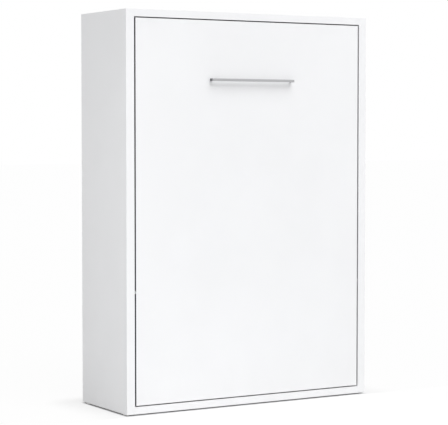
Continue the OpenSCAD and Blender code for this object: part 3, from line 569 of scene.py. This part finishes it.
def evened(piece, angle=35):
    """Smooths the shading over round parts and keeps flat faces flat."""
    pick(piece)
    bpy.ops.object.shade_smooth_by_angle(angle=math.radians(angle))
    return modifier(piece, "WEIGHTED_NORMAL", keep_sharp=True, weight=100)


def smoothed(piece):
    pick(piece)
    bpy.ops.object.shade_smooth()
    return piece


def fitted(piece, name, body, material, slot, *nodes):
    """Gives a finished piece its name, finish and body, and lets it stand for its nodes; its slot
    is not used.
    """
    settled(piece)
    piece.name = name
    piece.data.name = name
    piece.data.materials.clear()
    for each in material if isinstance(material, tuple) else (material,):
        piece.data.materials.append(finish(each))
    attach(piece, body)
    if nodes:
        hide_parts(*nodes)
    return piece


def dressed(node, name, body, material, slot, radius, segments=2):
    """Rounds the sharp edges of a node's form and fits it in the node's place."""
    piece = evened(rounded(traced(node), radius, segments))
    return fitted(piece, name, body, material, slot, node)


def at_corner(lo, hi, along=None):
    """A test for edges on the corners of a box, or only for those that run along one axis."""

    def test(edge):
        ends = [vert.co for vert in edge.verts]
        fixed = [
            axis
            for axis in range(3)
            if any(all(abs(end[axis] - limit[axis]) < MERGE for end in ends) for limit in (lo, hi))
        ]
        if len(fixed) < 2:
            return False
        return along is None or along not in fixed

    return test


def solids(node):
    """The points of each of a node's separate solids, in the order of their middles."""
    mesh = bmesh.new()
    mesh.from_mesh(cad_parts[node].data)
    bmesh.ops.remove_doubles(mesh, verts=mesh.verts, dist=MERGE)
    left = dict.fromkeys(mesh.verts)
    found = []
    while left:
        group = [left.popitem()[0]]
        for vert in group:
            for edge in vert.link_edges:
                other = edge.other_vert(vert)
                if other in left:
                    del left[other]
                    group.append(other)
        found.append([vert.co.copy() for vert in group])
    mesh.free()

    def middle(points):
        return [round(sum(point[i] for point in points) / len(points), 4) for i in range(3)]

    return sorted(found, key=middle)


def reach(points):
    """The lowest and the highest corner of some points."""
    return [Vector([end(point[i] for point in points) for i in range(3)]) for end in (min, max)]


def turned(profile, segments, ring=False):
    """Turns a profile of radii and heights about Z, as on a lathe, by extruding a circle."""
    radius, height = profile[0]
    settings = {"fill_type": "NOTHING" if ring else "NGON", "location": (0, 0, height)}
    add = bpy.ops.mesh.primitive_circle_add
    piece = settled(added(add, vertices=segments, radius=radius, **settings))
    edit(piece)
    for wide, up in profile[1:]:
        bpy.ops.mesh.extrude_region_move(TRANSFORM_OT_translate={"value": (0, 0, up - height)})
        if wide != radius:
            bpy.ops.transform.resize(value=(wide / radius, wide / radius, 1))
        radius, height = wide, up
    bpy.ops.mesh.select_all(action="SELECT")
    bpy.ops.mesh.remove_doubles(threshold=MERGE)
    bpy.ops.mesh.normals_make_consistent(inside=False)
    return done()


def cross_cut(piece, size, depth):
    """Cuts a cross recess for a driver into the face at Z zero."""
    for turn in (0, math.pi / 2):
        cutter = added(bpy.ops.mesh.primitive_cube_add, size=1, rotation=(0, 0, turn))
        cutter.scale = (size, size * 0.24, 2 * depth)
        bpy.ops.object.transform_apply(location=False, rotation=False, scale=True)
        modifier(cutter, "BEVEL", width=size * 0.05, segments=1)
        modifier(piece, "BOOLEAN", operation="DIFFERENCE", object=cutter, solver="EXACT")
        bpy.data.objects.remove(cutter)
    return piece


def spread(model, node):
    """Puts a model's copies on a node's solids: the face at the wide end, or else the inner one."""
    copies = []
    for points in solids(node):
        lo, hi = reach(points)
        middle = (lo + hi) / 2
        size = hi - lo
        odd = [abs(size[i] - size[i - 1]) + abs(size[i] - size[i - 2]) for i in range(3)]
        axis = odd.index(max(odd))

        def face_end(place):
            """Ranks an end by its width, and then by how near the cabinet's middle it is."""
            ring = [point - middle for point in points if abs(point[axis] - place) < MERGE]
            for point in ring:
                point[axis] = 0
            inner = abs(place - (CAD_BOX[0][axis] + CAD_BOX[1][axis]) / 2)
            return round(max(point.length for point in ring), 4), -inner

        at = middle.copy()
        at[axis] = max((lo[axis], hi[axis]), key=face_end)
        way = Vector((0, 0, 0))
        way[axis] = 1 if at[axis] == lo[axis] else -1
        turn = Vector((0, 0, 1)).rotation_difference(way).to_matrix().to_4x4()
        each = model(size[axis])
        each.data.transform(Matrix.Translation(at) @ turn)
        copies.append(each)
    return joined(copies)


def screwed(node, name, body, head, shank):
    """Models countersunk cross-head screws on a node's solids, each length once."""
    patterns = {}

    def screw(total):
        key = round(total / MM, 1)
        if key not in patterns:
            profile = [
                (head / 2 - 0.15 * MM, 0),
                (head / 2, 0.15 * MM),
                (shank / 2, (head - shank) / 2),
                (shank / 2, total - 0.5 * shank),
                (0.3 * shank, total),
            ]
            patterns[key] = cross_cut(turned(profile, 24), head * 0.6, 0.26 * head)
        return linked("screw", patterns[key].data)

    piece = spread(screw, node)
    for pattern in patterns.values():
        bpy.data.objects.remove(pattern)
    return fitted(evened(piece, 30), name, body, "bright_zinc", "zinc_plate", node)


# Boards
class WALLBED_OT_boards(bpy.types.Operator):
    """Band and round the boards of the cabinet, its rails and its front panel"""

    bl_idname = "wallbed.boards"
    bl_label = "Boards"

    def execute(self, context):
        radius = sizes().board_round
        for node, name, along in (
            ("left_side_panel", "left_side_board", None),
            ("right_side_panel", "right_side_board", None),
            ("top_panel", "top_board", 0),
            ("bottom_panel", "bottom_board", 0),
            ("upper_back_rail", "upper_rail_board", 0),
            ("middle_back_rail", "middle_rail_board", 0),
            ("lower_back_rail", "lower_rail_board", 0),
        ):
            piece = rounded_where(traced(node), at_corner(*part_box(node), along), radius)
            fitted(evened(piece), name, "cabinet", "cabinet_laminate", "white_board", node)
        piece = rounded_where(traced("front_panel"), at_corner(DOOR_LO, DOOR_HI), radius)
        # The front panel's outer edges take the near-black finish, painted shade for the gaps round
        # it.
        finishes = ("door_laminate", "edge_band")
        fitted(evened(piece), "front_board", "bed", finishes, "white_board", "front_panel")
        for face in piece.data.polygons:
            face.material_index = int(self.on_edge(face))
        return {"FINISHED"}

    def on_edge(self, face):
        """Whether a face lies on the front panel's outer edges."""
        limits = [(axis, limit[axis]) for axis in (0, 2) for limit in (DOOR_LO, DOOR_HI)]
        near = any(abs(face.center[axis] - place) < 1.2 * MM for axis, place in limits)
        return near and abs(face.normal.y) < 0.3


class WALLBED_OT_back(bpy.types.Operator):
    """Finish the back sheets and the strip that joins them"""

    bl_idname = "wallbed.back"
    bl_label = "Back sheets"

    def execute(self, context):
        for part in ("upper", "lower"):
            finishes = ("back_fibreboard", "back_sheet")
            dressed(f"back_panel_{part}", f"{part}_back_sheet", "cabinet", *finishes, 0.4 * MM, 1)
        finishes = ("white_moulding", "white_plastic")
        dressed("back_panel_joiner", "back_sheet_joiner", "cabinet", *finishes, 0.3 * MM)
        return {"FINISHED"}


class WALLBED_OT_handle(bpy.types.Operator):
    """Round the handle's bar and posts, and finish its screws"""

    bl_idname = "wallbed.handle"
    bl_label = "Handle"

    def execute(self, context):
        grip_round = sizes().handle_round
        for node, name, material, slot, radius, segments in (
            ("handle_bar", "handle_grip", "handle_metal", "brushed_handle", grip_round, 3),
            # The posts' darker metal is painted shade.
            ("handle_posts", "handle_legs", "post_metal", "brushed_handle", 0.5 * MM, 3),
            ("handle_screws", "handle_screw_pair", "bright_zinc", "zinc_plate", 0.4 * MM, 2),
        ):
            dressed(node, name, "bed", material, slot, radius, segments)
        return {"FINISHED"}


class WALLBED_OT_cabinet_fittings(bpy.types.Operator):
    """Finish the glides, wall plates, bolts, dowels, stops and studs, and model the cams"""

    bl_idname = "wallbed.cabinet_fittings"
    bl_label = "Cabinet fittings"

    def execute(self, context):
        for node, name, material, slot, radius, segments in (
            ("floor_glides", "floor_glide_set", "white_moulding", "white_plastic", 1.2 * MM, 3),
            ("wall_fixing_plates", "wall_plates", "bright_zinc", "zinc_plate", 0.6 * MM, 2),
            ("cam_bolts", "cam_bolt_set", "bright_zinc", "zinc_plate", 0.2 * MM, 1),
            ("back_rail_dowels", "dowel_set", "slat_birch", "birch", 0.8 * MM, 2),
            ("door_stops", "rubber_stops", "soft_rubber", "black_rubber", 2.0 * MM, 3),
            ("spring_studs", "spring_stud_pair", "bright_zinc", "zinc_plate", 0.4 * MM, 2),
        ):
            dressed(node, name, "cabinet", material, slot, radius, segments)
        cams = evened(spread(self.cam, "cam_locks"), 30)
        fitted(cams, "cam_lock_set", "cabinet", "bright_zinc", "zinc_plate", "cam_locks")
        return {"FINISHED"}

    def cam(self, thick):
        """One cam with its rim, its waist and its cross recess."""
        lo, hi = reach(solids("cam_locks")[0])
        rim = (hi.x - lo.x) / 2
        waist = rim - 0.8 * MM
        profile = [
            (rim - 0.5 * MM, 0),
            (rim, 0.5 * MM),
            (rim, 2.2 * MM),
            (waist, 2.8 * MM),
            (waist, thick - 0.6 * MM),
            (rim - 1.4 * MM, thick),
        ]
        return cross_cut(turned(profile, 32), rim * 1.2, 3.2 * MM)


class WALLBED_OT_pivots(bpy.types.Operator):
    """Round the mechanism's plates, axles and bushes, and model their screws"""

    bl_idname = "wallbed.pivots"
    bl_label = "Pivots"

    def execute(self, context):
        radius = sizes().metal_round
        for side in SIDES:
            for part, body in (("mechanism_plate", "cabinet"), ("bed_plate", "bed")):
                node = f"{side}_{part}"
                dressed(node, f"{node}_steel", body, "plate_steel", "steel_plate", radius)
            finishes = ("chrome_rod", "polished_steel")
            dressed(f"{side}_pivot_axle", f"{side}_axle", "cabinet", *finishes, 1.0 * MM)
        finishes = ("white_moulding", "white_plastic")
        dressed("pivot_bushes", "bush_pair", "bed", *finishes, 0.4 * MM)
        screwed("mechanism_plate_screws", "mechanism_screws", "cabinet", 10 * MM, 5 * MM)
        screwed("bed_plate_screws", "bed_screws", "bed", 12 * MM, 6 * MM)
        return {"FINISHED"}


class WALLBED_OT_springs(bpy.types.Operator):
    """Finish the gas springs and their bolts"""

    bl_idname = "wallbed.springs"
    bl_label = "Gas springs"

    def execute(self, context):
        for side in SIDES:
            for part, body, material, slot, radius in (
                ("gas_cylinder", "gas_cylinder", "cylinder_enamel", "black_enamel", 1.2 * MM),
                ("gas_rod", "gas_rod", "chrome_rod", "polished_steel", 0.4 * MM),
                ("tail_bolt", "gas_rod", "bright_zinc", "zinc_plate", 0.4 * MM),
            ):
                name = f"{side}_spring_{part}"
                dressed(f"{side}_{part}", name, f"{body}_{side}", material, slot, radius, 3)
        return {"FINISHED"}


class WALLBED_OT_bed_frame(bpy.types.Operator):
    """Round the tubes of the bed frame, and model its brackets, screws and buttons"""

    bl_idname = "wallbed.bed_frame"
    bl_label = "Bed frame"

    def execute(self, context):
        for node, along in (
            ("left_side_rail", 2),
            ("right_side_rail", 2),
            ("head_rail", 0),
            ("foot_rail", 0),
            ("centre_beam", 2),
        ):
            self.tube(node, node + "_tube", along, [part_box(node)])
        boxes = [reach(points) for points in solids("cross_rails")]
        self.tube("cross_rails", "cross_rail_tubes", 0, boxes)
        finishes = ("bright_zinc", "zinc_plate")
        radius = sizes().metal_round
        dressed("panel_brackets", "panel_angle_brackets", "bed", *finishes, radius)
        screwed("panel_bracket_screws", "bracket_screws", "bed", 8 * MM, 4 * MM)
        finishes = ("white_moulding", "white_plastic")
        dressed("edge_guide_buttons", "guide_buttons", "bed", *finishes, 1.2 * MM, 4)
        return {"FINISHED"}

    def tube(self, node, name, along, boxes):
        """Rounds the long corners of a node's tubes, with a box for each tube."""
        tests = [at_corner(lo, hi, along) for lo, hi in boxes]

        def long_corner(edge):
            return any(test(edge) for test in tests)

        piece = rounded_where(traced(node), long_corner, sizes().tube_round, 4)
        fitted(evened(piece), name, "bed", "frame_powder", "grey_enamel", node)


class WALLBED_OT_slats(bpy.types.Operator):
    """Round the slats and mould their holders"""

    bl_idname = "wallbed.slats"
    bl_label = "Slats"

    def execute(self, context):
        dressed("slats", "birch_slats", "bed", "slat_birch", "birch", sizes().slat_round, 3)
        finishes = ("black_moulding", "black_plastic")
        for node in ("side_slat_holders", "centre_slat_holders"):
            dressed(node, f"{node}_moulded", "bed", *finishes, sizes().plastic_round)
        return {"FINISHED"}


# Mattress
PAD_CORNER = 60 * MM
PAD_EDGE = 22 * MM
FACE_DEPTH = 12 * MM
BORDER_NEAR, BORDER_FAR = 4 * MM, 36 * MM
SEAM_SPREAD, SEAM_HELD, RIM_SQUARES = 1.1, 0.52, 3
PRESSURE = 4
CLOTH_FRAMES = 20
SOFT_STOP = 1.3
BORDER_PUFF = 2.2 * MM
UNDER_PUFF = 1.2 * MM
STRAP_REACH, STRAP_PRESS, STRAP_SLOPE = 60 * MM, 24 * MM, 0.2


def quilt_step():
    """Distance between two seams: a whole number of the cloth's squares."""
    return sizes().quilt_squares * sizes().cloth_grid


def quilt_start():
    """Height of one crosswise seam, on the cloth's grid and near the mattress's middle."""
    grid = sizes().cloth_grid
    return round((BED_LO.z + BED_HI.z) / 2 / grid) * grid


class WALLBED_OT_mattress(bpy.types.Operator):
    """Fill the quilted mattress and pipe its edges"""

    bl_idname = "wallbed.mattress"
    bl_label = "Mattress"

    def execute(self, context):
        low = BED_LO + Vector((2.5 * MM, 1.5 * MM, 5 * MM))
        high = BED_HI - Vector((2.5 * MM, 8 * MM, 5 * MM))
        pad = added(bpy.ops.mesh.primitive_cube_add, size=1, location=(low + high) / 2)
        pad.scale = high - low
        pad = rounded_where(settled(pad), self.upright, PAD_CORNER, 8)
        pad = rounded(pad, PAD_EDGE, 4)
        modifier(pad, "REMESH", mode="VOXEL", voxel_size=sizes().cloth_grid)
        self.fill(pad, low, high)
        pad = smoothed(modifier(pad, "SUBSURF", levels=1, render_levels=1))
        finishes = ("quilted_cover", "border_cloth")
        fitted(pad, "quilted_mattress", "bed", finishes, "mattress_cloth", "mattress")
        for face in pad.data.polygons:
            face.material_index = int(abs(face.normal.y) < 0.55)
        self.pipe(low, high)
        return {"FINISHED"}

    def upright(self, edge):
        """Whether an edge runs through the mattress's thickness."""
        return abs(edge.verts[0].co.y - edge.verts[1].co.y) > 0.1

    def fill(self, pad, low, high):
        """Pulls the cover in along its seams and blows it up between them."""
        size = sizes()
        grid = size.cloth_grid
        step = quilt_step()
        half = (high.y - low.y) / 2
        middle = (high.y + low.y) / 2
        held = pad.vertex_groups.new(name="seams")
        for index, vert in enumerate(pad.data.vertices):
            point = vert.co
            deep = abs(point.y - middle)
            on_face = deep > half - FACE_DEPTH
            side = abs(point.x) % step
            up = abs(point.z - quilt_start()) % step
            near = min(side, step - side, up, step - up)
            if on_face and point.y > middle:
                margin = min(high.x - abs(point.x), point.z - low.z, high.z - point.z)
                rim = min(1.0, max(0.0, margin / (RIM_SQUARES * grid)))
                fall = math.exp(-((near / (SEAM_SPREAD * grid)) ** 2))
                point.y -= size.seam_depth * rim * fall
            border = half - BORDER_FAR < deep < half - BORDER_NEAR
            if (on_face and near < SEAM_HELD * grid) or (border and not on_face):
                held.add([index], 1.0, "REPLACE")
        rest = [vert.co.copy() for vert in pad.data.vertices]
        self.blow_up(pad, held)
        straps = [sum(corner.z for corner in reach(band)) / 2 for band in solids("mattress_straps")]
        for vert, start in zip(pad.data.vertices, rest):
            cap = size.puff if start.y > high.y - FACE_DEPTH else BORDER_PUFF
            if start.y < middle:
                cap = UNDER_PUFF
            move = vert.co - start
            if move.length > 0:
                share = 1 - math.exp(-move.length / (SOFT_STOP * cap))
                vert.co = start + move.normalized() * cap * share
            under = min(abs(start.z - z) for z in straps)
            if start.y > middle and under < STRAP_REACH:
                press = BED_HI.y + max(0.0, under - STRAP_PRESS) * STRAP_SLOPE
                vert.co.y = min(vert.co.y, press - 0.3 * MM)

    def blow_up(self, pad, held):
        """Lets air into the cover, which its seams hold."""
        pick(pad)
        bpy.ops.object.modifier_add(type="CLOTH")
        cloth = pad.modifiers[-1]
        cloth.settings.use_pressure = True
        cloth.settings.uniform_pressure_force = PRESSURE
        cloth.settings.effector_weights.gravity = 0
        cloth.settings.vertex_group_mass = held.name
        cloth.settings.quality = 5
        cloth.collision_settings.use_self_collision = False
        cloth.point_cache.frame_start = 1
        cloth.point_cache.frame_end = CLOTH_FRAMES
        for step in range(1, CLOTH_FRAMES + 1):
            bpy.context.scene.frame_set(step)
        bpy.ops.object.modifier_apply(modifier=cloth.name)
        bpy.context.scene.frame_set(1)

    def pipe(self, low, high):
        """Sews a piping cord round both faces."""
        inset = 5.2 * MM
        loops = []
        for y in (low.y + 7 * MM, high.y - 7 * MM):
            loop = added(bpy.ops.mesh.primitive_plane_add, size=1)
            loop.data.transform(Matrix.Rotation(math.pi / 2, 4, "X"))
            loop.scale = (high.x - low.x - 2 * inset, 1, high.z - low.z - 2 * inset)
            loop.location = ((low.x + high.x) / 2, y, (low.z + high.z) / 2)
            edit(settled(loop))
            bpy.ops.mesh.bevel(offset=55 * MM, segments=10, affect="VERTICES")
            bpy.ops.mesh.select_all(action="SELECT")
            bpy.ops.mesh.delete(type="ONLY_FACE")
            done()
            bpy.ops.object.convert(target="CURVE")
            loop = bpy.context.object
            loop.data.bevel_depth = sizes().piping
            loop.data.bevel_resolution = 3
            bpy.ops.object.convert(target="MESH")
            loops.append(bpy.context.object)
        piping = smoothed(joined(loops))
        fitted(piping, "mattress_piping", "bed", "border_cloth", "mattress_cloth")


class WALLBED_OT_straps(bpy.types.Operator):
    """Finish the mattress straps and their anchors"""

    bl_idname = "wallbed.straps"
    bl_label = "Straps"

    def execute(self, context):
        edit(rounded(traced("mattress_straps"), 0.5 * MM))
        bpy.ops.mesh.separate(type="LOOSE")
        done()
        pieces = sorted(bpy.context.selected_objects, key=lambda each: each.bound_box[0][2])
        for piece, name in zip(pieces, ("head_strap", "foot_strap")):
            fitted(evened(piece), name, "bed", "strap_webbing", "webbing", "mattress_straps")
        finishes = ("black_moulding", "black_plastic")
        dressed("strap_anchors", "strap_anchor_blocks", "bed", *finishes, 1.6 * MM, 3)
        return {"FINISHED"}


class WALLBED_OT_leg(bpy.types.Operator):
    """Finish the folding leg and its brackets, and model its screws and ribbed feet"""

    bl_idname = "wallbed.leg"
    bl_label = "Folding leg"

    def execute(self, context):
        dressed("leg_arms", "leg_arm_tubes", "leg", "frame_powder", "grey_enamel", 3 * MM, 3)
        for node, name, body, material, slot in (
            ("leg_cranks", "leg_crank_plates", "leg", "plate_steel", "steel_plate"),
            ("leg_crossbar", "leg_cross_tube", "leg", "frame_powder", "grey_enamel"),
            ("leg_brackets", "leg_bracket_plates", "bed", "plate_steel", "steel_plate"),
            ("leg_pivot_studs", "leg_studs", "bed", "bright_zinc", "zinc_plate"),
        ):
            dressed(node, name, body, material, slot, 0.5 * MM)
        screwed("leg_bracket_screws", "leg_plate_screws", "bed", 12 * MM, 6 * MM)
        feet = evened(joined([self.foot(points) for points in solids("leg_feet")]), 40)
        fitted(feet, "ribbed_feet", "leg", "soft_rubber", "black_rubber", "leg_feet")
        return {"FINISHED"}

    def foot(self, points):
        """One rubber sleeve with ribs round it, turned on the crossbar's axis."""
        lo, hi = reach(points)
        low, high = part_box("leg_crossbar")
        bore = (high.z - low.z) / 2 + 0.05 * MM
        outer = (hi.z - lo.z) / 2
        groove = outer - 0.9 * MM
        mouth = outer - 0.8 * MM
        long = hi.x - lo.x
        ribs = sizes().foot_ribs
        step = (long - 6 * MM) / ribs
        profile = [(bore, 0), (mouth, 0), (outer, 0.8 * MM)]
        for rib in range(ribs):
            start = 3 * MM + rib * step
            for radius, share in ((outer, 0.15), (groove, 0.3), (groove, 0.6), (outer, 0.75)):
                profile.append((radius, start + share * step))
        profile += [(outer, long - 0.8 * MM), (mouth, long), (bore, long), (bore, 0)]
        piece = turned(profile, 48, ring=True)
        at = Vector((lo.x, (lo.y + hi.y) / 2, (lo.z + hi.z) / 2))
        piece.data.transform(Matrix.Translation(at) @ Matrix.Rotation(math.pi / 2, 4, "Y"))
        return piece


# Stage
CAMERA_AT = (-4.90434, -8.18248, 1.53687)
CAMERA_YAW = 30.812
CAMERA_PITCH = 2.824
CAMERA_LENS = 134.696
FLOOR_SIZE = 120
KEY_AT, KEY_WAY, KEY_ENERGY = Vector((0, -3, 5)), Vector((0.03, -0.60, 0.80)), 1.87
FILL_AT, FILL_ENERGY = Vector((-1.9, -0.75, 1.3)), 3.7
UPPER_AT, UPPER_ENERGY = Vector((1.5, -2.2, 2.7)), 3.0
WORLD_STRENGTH = 0.475
MIRROR_RAYS = ("Is Glossy Ray", "Is Transmission Ray")


class WALLBED_OT_stage(bpy.types.Operator):
    """Set up the camera, the floor, the lamps and the world"""

    bl_idname = "wallbed.stage"
    bl_label = "Stage"

    def execute(self, context):
        scene = context.scene
        camera = added(bpy.ops.object.camera_add, location=CAMERA_AT)
        camera.name = "photo_camera"
        turn = (math.radians(90 - CAMERA_PITCH), 0, math.radians(-CAMERA_YAW))
        camera.rotation_euler = turn
        camera.data.lens = CAMERA_LENS
        camera.data.sensor_width = 36
        camera.data.clip_end = 200
        scene.camera = camera

        floor = added(bpy.ops.mesh.primitive_plane_add, size=FLOOR_SIZE)
        floor.name = "studio_floor"
        floor.data.materials.append(self.floor_paint())

        angle = math.radians(47)
        self.lamp("key_lamp", "SUN", KEY_AT, KEY_WAY, energy=KEY_ENERGY, angle=angle)
        way = FILL_AT - Vector((-SIDE_HI.x, SIDE_LO.y, FILL_AT.z))
        shape = {"shape": "RECTANGLE", "size": 0.5, "size_y": 2.0}
        self.lamp("fill_lamp", "AREA", FILL_AT, way, energy=FILL_ENERGY, **shape)
        way = UPPER_AT - Vector((0.35, SIDE_LO.y, 1.8))
        self.lamp("upper_lamp", "AREA", UPPER_AT, way, energy=UPPER_ENERGY, size=1.2)
        scene.world = self.world()
        scene.view_settings.view_transform = "Standard"
        return {"FINISHED"}

    def lamp(self, name, kind, at, way, **settings):
        """Adds a lamp that shines against a direction; the camera sees no area lamp."""
        made = added(bpy.ops.object.light_add, type=kind, location=at)
        made.name = name
        for key, value in settings.items():
            setattr(made.data, key, value)
        made.visible_camera = kind == "SUN"
        made.rotation_euler = way.to_track_quat("Z", "Y").to_euler()

    def world(self):
        """A soft world light that the camera, metal and glass see as plain white."""
        world = bpy.data.worlds.new("studio_world")
        world.use_nodes = True
        tree = world.node_tree
        back = tree.nodes["Background"]
        back.inputs["Color"].default_value = WHITE
        path = tree.nodes.new("ShaderNodeLightPath")
        strength = tree.nodes.new("ShaderNodeMix")
        strength.inputs[2].default_value = WORLD_STRENGTH
        strength.inputs[3].default_value = 1.0
        seen = path.outputs["Is Camera Ray"]
        for ray in MIRROR_RAYS:
            either = tree.nodes.new("ShaderNodeMath")
            either.operation = "MAXIMUM"
            tree.links.new(seen, either.inputs[0])
            tree.links.new(path.outputs[ray], either.inputs[1])
            seen = either.outputs[0]
        tree.links.new(seen, strength.inputs[0])
        tree.links.new(strength.outputs[0], back.inputs["Strength"])
        return world

    def floor_paint(self):
        """White floor that keeps the shadows by the cabinet and fades into the backdrop."""
        paint = Paint("studio_floor", Roughness=0.9, Specular_IOR_Level=0.1)
        hi = CAD_BOX[1]
        beside = (abs(paint.x) - hi.x).highest(0)
        behind = (paint.y - hi.y).highest(0)
        away = (beside * beside + behind * behind).power(0.5)
        seen = paint.node("LightPath", out="Is Camera Ray")
        for ray in MIRROR_RAYS:
            seen = seen.highest(paint.node("LightPath", out=ray))
        ahead = seen * paint.between(SIDE_LO.y - paint.y, 0.0, 0.05)
        paint.set(Base_Color=paint.mix(ahead, tuple(colours().floor), (0.95, 0.95, 0.95)))
        lit = Term(paint, paint.shader.outputs[0])
        lift = paint.node("Emission", values={"Color": WHITE, "Strength": ahead * 0.08})
        lit = paint.node("AddShader", values={0: lit, 1: lift})
        fade = paint.between(away, 0.0, 0.012, 0.0, 0.72)
        fade = fade + paint.between(away, 0.03, 0.24, 0.0, 0.24)
        white = paint.node("Emission", values={"Color": WHITE, "Strength": 1.0})
        both = paint.node("MixShader", values={0: seen * fade, 1: lit, 2: white})
        surface = paint.tree.nodes["Material Output"].inputs["Surface"]
        paint.tree.links.new(both.socket, surface)
        return paint.material


OPERATORS = (
    WALLBED_OT_stage,
    WALLBED_OT_boards,
    WALLBED_OT_back,
    WALLBED_OT_handle,
    WALLBED_OT_cabinet_fittings,
    WALLBED_OT_pivots,
    WALLBED_OT_springs,
    WALLBED_OT_bed_frame,
    WALLBED_OT_slats,
    WALLBED_OT_mattress,
    WALLBED_OT_straps,
    WALLBED_OT_leg,
)


class WALLBED_PT_panel(bpy.types.Panel):
    """Lists the steps that build the wall bed, with its sizes and colours"""

    bl_idname = "WALLBED_PT_panel"
    bl_label = "Wall Bed"
    bl_space_type = "VIEW_3D"
    bl_region_type = "UI"
    bl_category = "Wall Bed"

    def draw(self, context):
        for step in OPERATORS:
            self.layout.operator(step.bl_idname)
        for group in (context.scene.wall_bed_sizes, context.scene.wall_bed_colours):
            box = self.layout.box()
            for key in group.__annotations__:
                box.prop(group, key)


CLASSES = (WallBedSizes, WallBedColours, *OPERATORS, WALLBED_PT_panel)


def register():
    for each in CLASSES:
        bpy.utils.register_class(each)
    bpy.types.Scene.wall_bed_sizes = PointerProperty(type=WallBedSizes)
    bpy.types.Scene.wall_bed_colours = PointerProperty(type=WallBedColours)


def unregister():
    del bpy.types.Scene.wall_bed_colours
    del bpy.types.Scene.wall_bed_sizes
    for each in reversed(CLASSES):
        bpy.utils.unregister_class(each)


def main():
    register()
    for step in OPERATORS:
        getattr(bpy.ops.wallbed, step.bl_idname.split(".")[1])()


if __name__ == "__main__":
    main()
